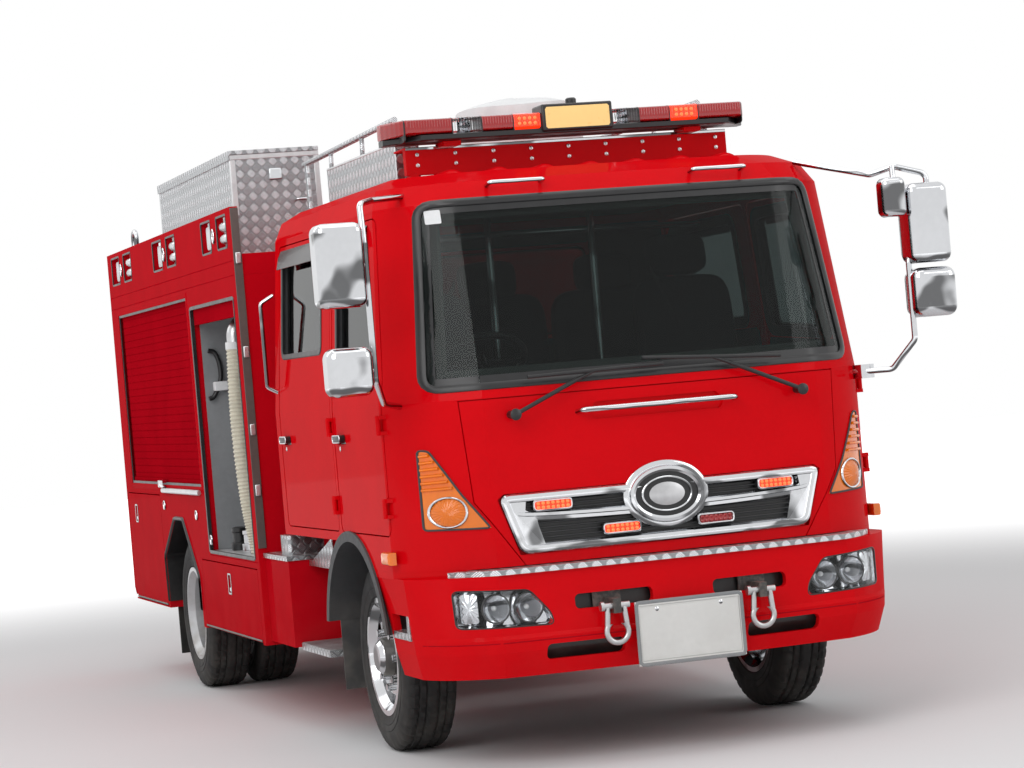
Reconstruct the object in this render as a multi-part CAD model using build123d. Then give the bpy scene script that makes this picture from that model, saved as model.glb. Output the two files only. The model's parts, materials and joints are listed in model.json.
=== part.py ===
"""Cab-over fire engine with a double cab and a pump body, built as separate pieces.

The vehicle faces -Y, +X is its left side, +Z is up, and the ground is z = 0. The origin is on the
ground, midway between the front shackles and the rear bumper. A station is a distance in millimetres
behind the face of the front bumper.
"""

from build123d import *
import os
from math import cos, pi, radians, sin

# Overall sizes
REACH_FRONT = 70.0  # shackles ahead of the bumper face
REAR_END = 6800.0  # station of the rear bumper
MIDDLE = (REAR_END - REACH_FRONT) / 2  # station of the origin
RUNNING_GAP = 0.3
SEAT_GAP = 0.5  # between a pane or lamp and the edge that holds it
PANEL_GAP = 6.0
DOOR_REAR_GAP = 16.0

# Wheels and axles
TYRE_RADIUS = 420.0
TYRE_WIDTH = 248.0
RIM_RADIUS = 252.0
RIM_WIDTH = 215.0
FRONT_AXLE = 1252.0
WHEELBASE = 3790.0
REAR_AXLE = FRONT_AXLE + WHEELBASE
FRONT_TYRE_OUT = 995.0  # half width over the front tyres
REAR_TYRE_OUT = 1103.0  # half width over the rear tyres
TWIN_SPACING = 279.0
KINGPIN_OUT = 770.0
KINGPIN_RADIUS = 22.0
KINGPIN_EYE = 46.0
SPINDLE_RADIUS = 40.0
STUDS = 8
STUD_CIRCLE = 137.0
HAND_HOLE = 23.0
HAND_HOLE_CIRCLE = 196.0
DISC_WALL = 12.0
HUB_BORE = SPINDLE_RADIUS + RUNNING_GAP
ARCH_RADIUS = 540.0
LINER_RADIUS = 522.0

# Ladder frame
RAIL_OUT = 420.0
RAIL_FLANGE = 75.0
RAIL_HEIGHT = 220.0
RAIL_WALL = 8.0
RAIL_TOP = 800.0
RAIL_START = 432.0
RAIL_END = 6560.0

# Cab
CAB_REAR = 2560.0
CAB_HALF = 1085.0
CAB_LOW = 832.0
CAB_SILL = 940.0
CAB_FLOOR = 1010.0
CAB_WALL = 45.0
BELT = 1530.0
HEAD = 2354.0
ROOF_EDGE = 2440.0
ROOF_TOP = 2490.0
PANEL_SKIN = 30.0
GLASS = 8.0
GLASS_INSET = 8.0

# Rear body
BODY_FRONT = 2930.0
BODY_REAR = 6740.0
BODY_HALF = 1150.0
BODY_TOP = 2567.0
BODY_LOW_FRONT = 378.0
BODY_LOW_REAR = 432.0
BODY_WALL = 30.0
DECK = 2330.0
LOCKER_DEPTH = 560.0
BAY_FLOOR = 790.0

# Each cab section: height, half width, half width of the front, front station at the middle,
# front station at the end of the front, station where the side begins
CAB_SECTIONS = [
    (CAB_LOW, CAB_HALF, 740.0, 130.0, 172.0, 555.0),
    (BELT, CAB_HALF, 740.0, 146.0, 188.0, 560.0),
    (HEAD, 1015.0, 720.0, 366.0, 396.0, 660.0),
    (ROOF_EDGE, 975.0, 690.0, 440.0, 468.0, 720.0),
    (ROOF_TOP, 880.0, 600.0, 580.0, 605.0, 800.0),
]


def y_at(station):
    """Row y of a station."""
    return station - MIDDLE


def block(x0, x1, s0, s1, z0, z1):
    """Box between two corners; s0 and s1 are stations."""
    return Pos((x0 + x1) / 2, y_at((s0 + s1) / 2), (z0 + z1) / 2) * Box(x1 - x0, s1 - s0, z1 - z0)


def flipped(shape):
    """The same shape on the other side of the vehicle."""
    return mirror(shape, about=Plane.YZ)


def both(shape):
    """The shape and its mirror image."""
    return shape + flipped(shape)


def rounded(face, radius):
    return fillet(face.vertices(), radius) if radius else face


def outline_face(points, radius, grow):
    """Flat face of an outline, grown by a true offset, with rounded corners."""
    face = Polygon(*points, align=None)
    if grow:
        face = offset(face, amount=grow, kind=Kind.INTERSECTION)
    return rounded(face, radius + grow if radius else 0.0)


def side_prism(points, x0, x1, radius=0.0, grow=0.0):
    """Outline of (station, height) points, pushed from x0 to x1."""
    face = outline_face([(y_at(s), z) for s, z in points], radius, grow)
    return extrude(Plane.YZ.offset(x0) * face, amount=x1 - x0, dir=(1, 0, 0))


def front_prism(points, s0, s1, radius=0.0, grow=0.0):
    """Outline of (x, height) points, pushed from station s0 to station s1."""
    face = outline_face(points, radius, grow)
    return extrude(Plane.XZ.offset(-y_at(s0)) * face, amount=s1 - s0, dir=(0, 1, 0))


def rectangle_points(x0, x1, z0, z1):
    return [(x0, z0), (x1, z0), (x1, z1), (x0, z1)]


def rod(start, end, radius):
    """Round bar between two points given as (x, station, z)."""
    a = Vector(start[0], y_at(start[1]), start[2])
    b = Vector(end[0], y_at(end[1]), end[2])
    length = (b - a).length
    return Plane(origin=a, z_dir=b - a) * Cylinder(
        radius, length, align=(Align.CENTER, Align.CENTER, Align.MIN)
    )


def bent_tube(points, radius, bend):
    """Round tube along (x, station, z) points with rounded bends."""
    path = FilletPolyline(*[(x, y_at(s), z) for x, s, z in points], radius=bend)
    start = path @ 0
    return sweep(Plane(origin=start, z_dir=path % 0) * Circle(radius), path=path)


def across(radius, x0, x1, station, height):
    """Cylinder along X."""
    return Pos((x0 + x1) / 2, y_at(station), height) * Rot(0, 90, 0) * Cylinder(radius, x1 - x0)


def upright(radius, x, station, z0, z1):
    """Cylinder along Z."""
    return Pos(x, y_at(station), (z0 + z1) / 2) * Cylinder(radius, z1 - z0)


def plan_section(z, half, front_half, front_mid, front_end, side_start, rear):
    """Horizontal outline: bowed front, rounded corners, straight sides and rear."""
    a, b = half - front_half, side_start - front_end
    near = (front_half, y_at(front_end))
    knee = (front_half + 0.66 * a, y_at(front_end + 0.44 * b))
    far = (half, y_at(side_start))
    back = (half, y_at(rear))

    def left(p):
        return (-p[0], p[1])

    edges = [
        ThreePointArc(left(near), (0, y_at(front_mid)), near),
        ThreePointArc(near, knee, far),
        Line(far, back),
        Line(back, left(back)),
        Line(left(back), left(far)),
        ThreePointArc(left(far), left(knee), left(near)),
    ]
    return Pos(0, 0, z) * make_face(edges)


def cab_solid(inset, low=None, top_cut=0.0):
    """The cab's outer form, taken in by an inset all round, from a lower height up."""
    faces = []
    for z, half, front_half, mid, end, side in CAB_SECTIONS:
        height = z if z > BELT else (low if (low is not None and z == CAB_LOW) else z)
        if z == ROOF_TOP:
            height = z - top_cut
        faces.append(
            plan_section(
                height, half - inset, front_half, mid + inset, end + inset, side, CAB_REAR - inset
            )
        )
    return loft(faces, ruled=True)


def shell_band(inner, outer, low=None):
    """Layer of the cab between two insets."""
    return cab_solid(outer, low) - cab_solid(inner, low)


# Outlines shared by the cab and the pieces set into it
WINDSCREEN = [(-948.0, 1580.0), (948.0, 1580.0), (872.0, 2350.0), (-872.0, 2350.0)]
HOOD_OUTLINE = [
    (-830.0, BELT - 8),
    (-805.0, 1105.0),
    (-620.0, CAB_LOW),
    (620.0, CAB_LOW),
    (805.0, 1105.0),
    (830.0, BELT - 8),
]
SIDE_MARKER = (478.0, 600.0, 866.0, 918.0)
TURN_LAMP = [(752.0, 998.0), (985.0, 1003.0), (985.0, 1335.0), (950.0, 1330.0), (848.0, 1140.0)]

# Doors: name, first station, last station, lowest height, window outline
DOOR_TOP = 2318.0
FRONT_DOOR = (545.0, 1383.0, 985.0)
REAR_DOOR = (1440.0, 2465.0, 985.0)
DOOR_SLANT = 95.0
FRONT_WINDOW = [(640.0, 1700.0), (1310.0, 1740.0), (1310.0, 2245.0), (745.0, 2245.0)]
REAR_WINDOW = [(1600.0, 1790.0), (2410.0, 1790.0), (2410.0, 2245.0), (1600.0, 2245.0)]
HINGE_RADIUS = 11.0
HINGE_PIN = 5.0
HINGE_OUT = CAB_HALF + HINGE_RADIUS + 1.5
HINGE_HEIGHTS = (1100.0, 1450.0)
HINGE_HALF = 25.0
LUG = 16.0
DOOR_INSIDE = 925.0  # no part of a door lies inside this half width


def door_outline(door, extra=0.0, rear_extra=0.0):
    """Door's edge seen from the side; the front door leans back with the screen pillar."""
    first, last, low = door
    slant = DOOR_SLANT if door is FRONT_DOOR else 0.0
    return [
        (first - extra, low - extra),
        (last + rear_extra, low - extra),
        (last + rear_extra, DOOR_TOP + extra),
        (first + slant - extra, DOOR_TOP + extra),
        (first - extra, 1650.0),
    ]


def hinge_lugs(door):
    """Cab half of a left door's hinges: straps and the pins between them."""
    first = door[0]
    lugs = None
    for z in HINGE_HEIGHTS:
        part = upright(HINGE_PIN, HINGE_OUT, first, z - HINGE_HALF - 5, z + HINGE_HALF + 5)
        for low in (z - HINGE_HALF - RUNNING_GAP - LUG, z + HINGE_HALF + RUNNING_GAP):
            part += upright(HINGE_RADIUS, HINGE_OUT, first, low, low + LUG)
            part += block(CAB_HALF - 40, HINGE_OUT, first - 32, first, low, low + LUG)
        lugs = part if lugs is None else lugs + part
    return lugs


def hinge_knuckles(door):
    """Door half of a left door's hinges: a bored barrel and its strap."""
    first = door[0]
    knuckles = None
    for z in HINGE_HEIGHTS:
        part = upright(HINGE_RADIUS, HINGE_OUT, first, z - HINGE_HALF, z + HINGE_HALF)
        part += block(
            CAB_HALF - 20, HINGE_OUT, first + 2, first + 45, z - HINGE_HALF, z + HINGE_HALF
        )
        part -= upright(HINGE_PIN + RUNNING_GAP, HINGE_OUT, first, z - 60, z + 60)
        knuckles = part if knuckles is None else knuckles + part
    return knuckles


def arch_cutter(x0, x1):
    """Front wheel opening: round ahead of the axle, square behind it."""
    return across(ARCH_RADIUS, x0, x1, FRONT_AXLE, TYRE_RADIUS) + block(
        x0, x1, FRONT_AXLE, FRONT_AXLE + 620.0, 0.0, CAB_SILL - 22.0
    )


def make_cab():
    """Shell with floor, screen, door and lamp openings, and ribs pressed in the roof."""
    shell = cab_solid(0.0) - cab_solid(CAB_WALL, low=CAB_FLOOR, top_cut=30.0)
    shell -= block(-1300, 1300, FRONT_AXLE, CAB_REAR + 50, CAB_LOW - 50, CAB_SILL)
    shell -= cab_solid(CAB_WALL) & block(-1300, 1300, 0, FRONT_AXLE + 50, CAB_LOW - 50, CAB_SILL)
    shell -= arch_cutter(500, 1300) + arch_cutter(-1300, -500)
    shell -= front_prism(WINDSCREEN, 0, 640, 60.0)
    pocket = shell_band(PANEL_SKIN, -5.0)
    shell -= pocket & front_prism(HOOD_OUTLINE, 0, 640, grow=4.0)
    lamp = front_prism(TURN_LAMP, 0, 640, grow=SEAT_GAP)
    shell -= pocket & (lamp + flipped(lamp))
    for door in (FRONT_DOOR, REAR_DOOR):
        outline = door_outline(door, PANEL_GAP, DOOR_REAR_GAP)
        cut = side_prism(outline, DOOR_INSIDE, 1300, 40.0)
        shell -= cut + flipped(cut)
        shell += both(hinge_lugs(door))
    window = front_prism(REAR_PANE, CAB_REAR - CAB_WALL - 20, CAB_REAR + 20, 50.0)
    return shell - window + roof_ribs()


# The cab's panels meet at these heights
CAB_JOINTS = (1560.0, 2345.0)
BODY_JOINTS = (1100.0, 2226.0)


def level_part(shape, low, high):
    """Part of a shape between two heights; a running gap parts it from the next."""
    z0 = -100.0 if low is None else low + RUNNING_GAP
    z1 = 3500.0 if high is None else high
    return shape & block(-1500, 1500, -300, 7200, z0, z1)


def roof_ribs():
    """Shallow ribs along the roof."""
    count, pitch, radius = 7, 210.0, 70.0
    ribs = None
    for index in range(count):
        x = (index - (count - 1) / 2) * pitch
        rib = Pos(x, y_at(1610), ROOF_TOP - 46) * Rot(90, 0, 0) * Cylinder(radius, 1740)
        rib += Pos(x, y_at(740), ROOF_TOP - 46) * Sphere(radius)
        ribs = rib if ribs is None else ribs + rib
    return ribs - block(-1200, 1200, 600, 2900, ROOF_TOP - 200, ROOF_TOP - 12)


REAR_PANE = rectangle_points(-560.0, 560.0, 1800.0, 2230.0)


def make_windscreen():
    return shell_band(GLASS_INSET + GLASS, GLASS_INSET) & front_prism(
        WINDSCREEN, 0, 640, 60.0, grow=-SEAT_GAP
    )


def make_rear_pane():
    back = CAB_REAR - GLASS_INSET
    return front_prism(REAR_PANE, back - GLASS, back, 50.0, grow=-SEAT_GAP)


def make_door(door, window):
    """Left door: the cab wall inside the outline, with its window cut out and its handle."""
    wall = cab_solid(0.0) - cab_solid(CAB_WALL, low=CAB_FLOOR - 60, top_cut=30.0)
    panel = wall & side_prism(door_outline(door), DOOR_INSIDE, 1300, 34.0)
    panel -= side_prism(window, DOOR_INSIDE - 10, 1300, 45.0)
    at, skin = door[1] - 110.0, CAB_HALF
    panel -= block(skin - 14, skin + 40, at - 85, at + 65, 1372, 1412)
    grip = block(skin - 16, skin + 22, at - 70, at + 50, 1384, 1410)
    grip -= block(skin - 14, skin + 8, at - 50, at + 30, 1380, 1420)
    return panel + grip + hinge_knuckles(door)


def make_door_glass(window):
    inset = GLASS_INSET + 18
    return shell_band(inset + GLASS, inset, low=CAB_FLOOR) & side_prism(
        window, DOOR_INSIDE - 10, 1300, 45.0, grow=-SEAT_GAP
    )


# Front panel and grille: outlines of (x, height)
GRILLE_SIDE = 716.0
GRILLE_TOP = 1128.0
GRILLE_LOW = 876.0
GRILLE_MID = 1002.0
HOOD_SCOOP = [(-310.0, 1404.0), (310.0, 1404.0), (270.0, 1476.0), (-270.0, 1476.0)]
BADGE_HEIGHT = 1070.0
BADGE_HALF = (142.0, 96.0)  # half width and half height of the plain oval plate
BADGE_RIM = 24.0
GRILLE_OUTLINE = [
    (-640.0, GRILLE_LOW),
    (640.0, GRILLE_LOW),
    (GRILLE_SIDE, GRILLE_TOP - 20),
    (690.0, GRILLE_TOP),
    (-690.0, GRILLE_TOP),
    (-GRILLE_SIDE, GRILLE_TOP - 20),
]
UPPER_MOUTH = [(-585.0, 1022.0), (585.0, 1022.0), (610.0, 1088.0), (-610.0, 1088.0)]
LOWER_MOUTH = [(-545.0, 912.0), (545.0, 912.0), (570.0, 985.0), (-570.0, 985.0)]


def badge_oval(grow, s0, s1):
    """Oval of the badge plate, grown all round, from station s0 to station s1."""
    face = Pos(0, BADGE_HEIGHT) * Ellipse(BADGE_HALF[0] + grow, BADGE_HALF[1] + grow)
    return extrude(Plane.XZ.offset(-y_at(s0)) * face, amount=s1 - s0, dir=(0, 1, 0))


def grille_plate(grow=0.0):
    """Front view of the chrome surround with its hump over the badge plate."""
    return front_prism(GRILLE_OUTLINE, 0, 640, grow=grow) + badge_oval(BADGE_RIM + grow, 0, 640)


def make_front_panel():
    """Hood panel below the windscreen, with a scoop behind the grab bar and the grille opening."""
    skin = shell_band(PANEL_SKIN - 0.6, 0.0) & front_prism(HOOD_OUTLINE, 0, 640)
    skin -= grille_plate(1.0)
    skin -= front_prism(HOOD_SCOOP, 0, 640, 24.0) & cab_solid(-2.0) - cab_solid(14.0)
    return skin


def make_grille():
    """Chrome surround with two mouths, standing a little proud of the panel."""
    plate = (cab_solid(-14.0) - cab_solid(PANEL_SKIN - 0.6)) & grille_plate()
    for mouth in (UPPER_MOUTH, LOWER_MOUTH):
        plate -= front_prism(mouth, 0, 640, 26.0)
    return plate + badge_oval(0.0, 108, 152)


def make_grille_mesh():
    """Dark louvred plate behind the mouths."""
    plate = shell_band(PANEL_SKIN - 0.6, PANEL_SKIN - 14) & (
        front_prism(UPPER_MOUTH, 0, 640, 26.0, grow=-SEAT_GAP)
        + front_prism(LOWER_MOUTH, 0, 640, 26.0, grow=-SEAT_GAP)
    )
    return plate - badge_oval(SEAT_GAP, 0, 300)


def make_turn_lamps():
    lens = shell_band(PANEL_SKIN - 1, -4.0) & front_prism(TURN_LAMP, 0, 640)
    s0, s1, z0, z1 = SIDE_MARKER
    marker = block(CAB_HALF + RUNNING_GAP, CAB_HALF + 36, s0, s1, z0, z1)
    marker = fillet(marker.faces().sort_by(Axis.X)[-1].edges(), 12)
    return both(lens + marker)


# Front bumper: height, half width, front half width, front stations and side station
BUMPER_TOP = 806.0
BUMPER_LOW = 385.0
BUMPER_SECTIONS = [
    (BUMPER_LOW, 1030.0, 760.0, 62.0, 110.0, 420.0),
    (490.0, 1056.0, 780.0, 8.0, 60.0, 400.0),
    (545.0, 1060.0, 782.0, 0.0, 52.0, 400.0),
    (560.0, 1062.0, 780.0, 12.0, 64.0, 400.0),
    (BUMPER_TOP, 1082.0, 770.0, 36.0, 84.0, 410.0),
]
BUMPER_REAR = 900.0
CORNER_SEAM = 235.0  # station where the bumper's cheek starts behind the corner
AIR_SLOTS = [(270.0, 600.0, 448.0, 512.0), (132.0, 465.0, 640.0, 702.0)]
SIDE_STEP = (425.0, 700.0, 548.0, 652.0)
BUMPER_WALL = 34.0
HEADLAMP = [(560.0, 592.0), (935.0, 600.0), (940.0, 752.0), (650.0, 738.0), (570.0, 640.0)]
HEADLAMP_DEPTH = 130.0
PLATE_MIDDLE = 0.0
PLATE_HALF_W = 234.0
PLATE_Z = (385.0, 647.0)
SHACKLE_OUT = 320.0
SHACKLE_PIN_Z = 645.0


def bumper_solid(inset):
    faces = [
        plan_section(z, half - inset, fh, mid + inset, end + inset, side, BUMPER_REAR)
        for z, half, fh, mid, end, side in BUMPER_SECTIONS
    ]
    return loft(faces, ruled=True)


def bumper_cheeks():
    """Strips that close each side between the bumper's top and the cab."""
    height, half, front_half, mid, end, side = CAB_SECTIONS[0]
    base = BUMPER_TOP - 4
    rim = plan_section(base, half, front_half, mid, end, side, BUMPER_REAR)
    hollow = plan_section(
        base, half - BUMPER_WALL, front_half, mid + BUMPER_WALL, end + BUMPER_WALL, side, BUMPER_REAR
    )
    band = extrude(rim, amount=height - RUNNING_GAP - base) - extrude(hollow, amount=60)
    return band & block(-1300, 1300, CORNER_SEAM, BUMPER_REAR + 1, 0, 1000)


def make_bumper():
    """Wrap-round bumper with lamp pockets, air slots, side steps and a top ledge."""
    inner = bumper_solid(BUMPER_WALL) - block(-1300, 1300, 0, 1000, BUMPER_TOP - 30, 900)
    shell = bumper_solid(0.0) - inner + bumper_cheeks()
    shell -= block(-980, 980, 430, 1000, 300, 900)
    s0, s1, z0, z1 = SIDE_STEP
    step = block(900, 1300, s0, s1, z0, z1)
    shell -= step + flipped(step)
    shell -= arch_cutter(600, 1300) + arch_cutter(-1300, -600)
    lamp = front_prism(HEADLAMP, -50, HEADLAMP_DEPTH + 320, 22.0)
    shell -= lamp + flipped(lamp)
    for side in (-1, 1):
        x = side * SHACKLE_OUT
        shell -= block(x - 19, x + 19, -80, 500, SHACKLE_PIN_Z - 33, SHACKLE_PIN_Z + 33)
    for x0, x1, z0, z1 in AIR_SLOTS:
        cut = front_prism(rectangle_points(x0, x1, z0, z1), -50, 260, 22.0)
        shell -= cut + flipped(cut)
    return shell


def make_side_steps():
    """Bright foothold set in each side of the bumper: a tread, a back plate and a front post."""
    s0, s1, z0, z1 = SIDE_STEP
    gap = SEAT_GAP
    step = block(1004, 1066, s0 + gap, s1 - gap, z0 + gap, z0 + 30)
    step += block(1004, 1010, s0 + gap, s1 - gap, z0 + gap, z1 - gap)
    return step + block(1004, 1068, s0 + gap, s0 + 42, z0 + gap, z1 - gap)


def make_headlamps():
    """Clear unit of each headlamp, filling its pocket."""
    body = (bumper_solid(2.0) - bumper_solid(BUMPER_WALL + 40)) & front_prism(
        HEADLAMP, -50, HEADLAMP_DEPTH + 320, 22.0, grow=-SEAT_GAP
    )
    return both(body)


def make_bumper_tread():
    """Bright tread strip on top of the bumper."""
    strip = plan_section(0, 1000.0, 760.0, 22.0, 68.0, 380.0, 420.0) - plan_section(
        0, 940.0, 700.0, 150.0, 196.0, 500.0, 640.0
    )
    band = extrude(Pos(0, 0, BUMPER_TOP + RUNNING_GAP) * strip, amount=22.0)
    return band & block(-990, 990, 0, CORNER_SEAM - RUNNING_GAP, 0, 1000)


def make_plate():
    """Blank number plate in its frame on a bracket."""
    x0, x1 = PLATE_MIDDLE - PLATE_HALF_W, PLATE_MIDDLE + PLATE_HALF_W
    z0, z1 = PLATE_Z
    frame = front_prism(rectangle_points(x0, x1, z0, z1), -34, -22)
    frame -= front_prism(rectangle_points(x0 + 14, x1 - 14, z0 + 18, z1 - 18), -40, -27)
    frame += front_prism(rectangle_points(x0 + 16, x1 - 16, z0 + 20, z1 - 20), -30, -25)
    arms = block(x0 + 100, x0 + 130, -24, 20, z1 - 40, z1 - 5) + block(
        x1 - 130, x1 - 100, -24, 20, z1 - 40, z1 - 5
    )
    return frame + (arms - bumper_solid(-RUNNING_GAP))


def make_shackle(x):
    """Bow shackle hanging on its pin from a tow bracket."""
    pin_z, bow, wire = SHACKLE_PIN_Z, 46.0, 12.0
    centre_z = pin_z - 105.0
    ring = Pos(x, y_at(-40), centre_z) * Rot(90, 0, 0) * Torus(bow, wire)
    ring -= Pos(x, y_at(-40), centre_z + 60) * Box(200, 100, 60)
    legs = [
        rod((x + side * (bow - 4), -40, centre_z + 24), (x + side * 34, -40, pin_z), wire)
        for side in (-1, 1)
    ]
    pin = across(13, x - 58, x + 58, -40, pin_z)
    head = across(20, x - 66, x - 52, -40, pin_z)
    return ring + legs[0] + legs[1] + pin + head


def make_tow_bracket(x):
    z0, z1 = SHACKLE_PIN_Z - 30, SHACKLE_PIN_Z + 30
    bracket = block(x - 16, x + 16, -64, RAIL_START + 20, z0, z1)
    flange = block(x - 60, x + 60, 20, 75, z0 - 25, z1 + 25)
    bracket += flange & bumper_solid(BUMPER_WALL + RUNNING_GAP)
    return bracket - across(13 + RUNNING_GAP, x - 100, x + 100, -40, SHACKLE_PIN_Z)


def make_frame():
    """Two channel rails, crossmembers and the tow brackets at the front."""
    low = RAIL_TOP - RAIL_HEIGHT
    rail = block(RAIL_OUT - RAIL_FLANGE, RAIL_OUT, RAIL_START, RAIL_END, low, RAIL_TOP)
    rail -= block(
        RAIL_OUT - RAIL_FLANGE - 1,
        RAIL_OUT - RAIL_WALL,
        RAIL_START - 1,
        RAIL_END + 1,
        low + RAIL_WALL,
        RAIL_TOP - RAIL_WALL,
    )
    frame = both(rail)
    inside = RAIL_OUT - RAIL_WALL / 2
    for station in (RAIL_START, 2330.0, 3000.0, 3700.0, 4500.0, 5600.0, RAIL_END - 60.0):
        frame += block(-inside, inside, station, station + 60, low + 70, RAIL_TOP - 30)
    for station in (640.0, 2400.0):
        mount = block(
            RAIL_OUT - RAIL_FLANGE, RAIL_OUT, station, station + 110, RAIL_TOP - 1, CAB_SILL - RUNNING_GAP
        )
        frame += both(mount)
    frame += make_springs()
    for side in (-1, 1):
        frame += make_tow_bracket(side * SHACKLE_OUT)
    return frame


def make_springs():
    """Leaf springs of both axles, with their hanger brackets."""
    pieces = None
    for axle, half, height in ((FRONT_AXLE, 560.0, 470.0), (REAR_AXLE, 640.0, 520.0)):
        for side in (-1, 1):
            x = side * 380.0
            leaves = block(x - 35, x + 35, axle - half, axle + half, height + 15, height + 33)
            leaves += block(x - 35, x + 35, axle - half * 0.6, axle + half * 0.6, height, height + 15)
            for end in (-1, 1):
                s = axle + end * (half - 30)
                leaves += block(x - 30, x + 30, s - 30, s + 30, height + 20, 800 - RAIL_HEIGHT)
            pieces = leaves if pieces is None else pieces + leaves
    return pieces


def make_front_axle():
    """Beam with an eye at each end for the steering pin."""
    beam = block(-KINGPIN_OUT, KINGPIN_OUT, FRONT_AXLE - 42, FRONT_AXLE + 42, 370, 455)
    for s0, s1 in ((FRONT_AXLE - 50, FRONT_AXLE - 14), (FRONT_AXLE + 14, FRONT_AXLE + 50)):
        beam -= block(-KINGPIN_OUT - 1, KINGPIN_OUT + 1, s0, s1, 386, 439)
    for side in (-1, 1):
        x = side * KINGPIN_OUT
        beam += upright(KINGPIN_EYE, x, FRONT_AXLE, 365, 475)
        pad = side * 380.0
        beam += block(
            pad - 45, pad + 45, FRONT_AXLE - 60, FRONT_AXLE + 60, 440, 470 - RUNNING_GAP
        )
    for side in (-1, 1):
        beam -= upright(KINGPIN_RADIUS + RUNNING_GAP, side * KINGPIN_OUT, FRONT_AXLE, 300, 520)
    return beam


def make_knuckle():
    """Left steering knuckle: two ears, the pin through the beam's eye, and the wheel spindle."""
    x = KINGPIN_OUT
    piece = upright(KINGPIN_RADIUS, x, FRONT_AXLE, 330, 510)
    piece += upright(40, x, FRONT_AXLE, 325, 365 - RUNNING_GAP)
    piece += upright(40, x, FRONT_AXLE, 475 + RUNNING_GAP, 515)
    web = block(x + KINGPIN_EYE + 6, x + KINGPIN_EYE + 30, FRONT_AXLE - 40, FRONT_AXLE + 40, 325, 515)
    piece += web
    piece += block(x, x + KINGPIN_EYE + 20, FRONT_AXLE - 30, FRONT_AXLE + 30, 325, 360)
    piece += block(x, x + KINGPIN_EYE + 20, FRONT_AXLE - 30, FRONT_AXLE + 30, 480, 515)
    piece += across(SPINDLE_RADIUS, x + KINGPIN_EYE + 10, x + 180, FRONT_AXLE, TYRE_RADIUS)
    return piece


PINION_REACH = 500.0
PINION_HEIGHT = TYRE_RADIUS + 40.0


def make_rear_axle():
    """Banjo housing with round tubes and spindles."""
    tube_end = REAR_TYRE_OUT - TYRE_WIDTH - TWIN_SPACING - 40
    axle = across(78, -tube_end, tube_end, REAR_AXLE, TYRE_RADIUS)
    axle += across(SPINDLE_RADIUS, -960, 960, REAR_AXLE, TYRE_RADIUS)
    axle += Pos(0, y_at(REAR_AXLE), TYRE_RADIUS) * Sphere(185)
    axle += rod(
        (0, REAR_AXLE - PINION_REACH, PINION_HEIGHT), (0, REAR_AXLE - 100, PINION_HEIGHT), 38
    )
    for side in (-1, 1):
        axle += block(
            side * 380 - 45, side * 380 + 45, REAR_AXLE - 70, REAR_AXLE + 70, 470, 520 - RUNNING_GAP
        )
    return axle


def make_powertrain():
    """Engine as one block on its mounts, the gearbox and the shaft to the rear axle."""
    train = block(-320, 320, 560, 1770, 560, CAB_SILL - 20)
    train += block(-170, 170, 1760, 2250, 520, 860)
    reach = RAIL_OUT - RAIL_WALL - RUNNING_GAP
    for station in (700.0, 1560.0):
        train += block(-reach, reach, station, station + 70, 680, 720)
    end = REAR_AXLE - PINION_REACH - RUNNING_GAP
    shaft = rod((0, 2240, 590), (0, end + 10, PINION_HEIGHT), 42)
    return train + (shaft - block(-100, 100, end, end + 100, 300, 700))


def wheel_turn(face):
    """Revolves a profile of (radius, offset along the axle) about the X axis through the origin."""
    return revolve(face, axis=Axis.X, revolution_arc=360)


def tyre_solid(outer_x):
    """Tyre with four grooves, its outer face at outer_x; axle on the X axis."""
    half = TYRE_WIDTH / 2
    mid = outer_x - half
    bead = RIM_RADIUS + RUNNING_GAP
    points = [
        (mid - half * 0.80, bead),
        (mid - half, RIM_RADIUS + 70),
        (mid - half + 2, TYRE_RADIUS - 60),
        (mid - half + 22, TYRE_RADIUS - 12),
        (mid - half + 44, TYRE_RADIUS),
        (mid + half - 44, TYRE_RADIUS),
        (mid + half - 22, TYRE_RADIUS - 12),
        (mid + half - 2, TYRE_RADIUS - 60),
        (mid + half, RIM_RADIUS + 70),
        (mid + half * 0.80, bead),
    ]
    body = wheel_turn(Polygon(*points, align=None))
    for k in range(4):
        x = mid + (k - 1.5) * 42.0
        ring = Rectangle(9, 24)
        body -= wheel_turn(Pos(x, TYRE_RADIUS) * ring)
    return body


def barrel_solid(mid):
    """Rim barrel with its two flanges, about the wheel's middle plane."""
    half, r = RIM_WIDTH / 2, RIM_RADIUS
    points = [
        (mid - half - 6, r - 12),
        (mid - half + 30, r - 34),
        (mid + half - 30, r - 34),
        (mid + half + 6, r - 12),
        (mid + half + 6, r + 10),
        (mid + half, r + 10),
        (mid + half, r),
        (mid - half, r),
        (mid - half, r + 10),
        (mid - half - 6, r + 10),
    ]
    return wheel_turn(Polygon(*points, align=None))


def disc_solid(plate_x, toward, root_x):
    """Wheel disc: flat centre at plate_x, then a cone to the barrel at root_x.

    toward is +1 where the disc's thickness lies outwards of plate_x, else -1.
    """
    t = DISC_WALL * toward
    points = [
        (plate_x, HUB_BORE),
        (plate_x + t, HUB_BORE),
        (plate_x + t, 168),
        (root_x + t, RIM_RADIUS - 30),
        (root_x, RIM_RADIUS - 30),
        (plate_x, 172),
    ]
    disc = wheel_turn(Polygon(*points, align=None))
    for k in range(STUDS):
        angle = 2 * pi * (k + 0.5) / STUDS
        y, z = HAND_HOLE_CIRCLE * cos(angle), HAND_HOLE_CIRCLE * sin(angle)
        disc -= Pos(plate_x, y, z) * Rot(0, 90, 0) * Cylinder(HAND_HOLE, 200)
    return disc


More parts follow.
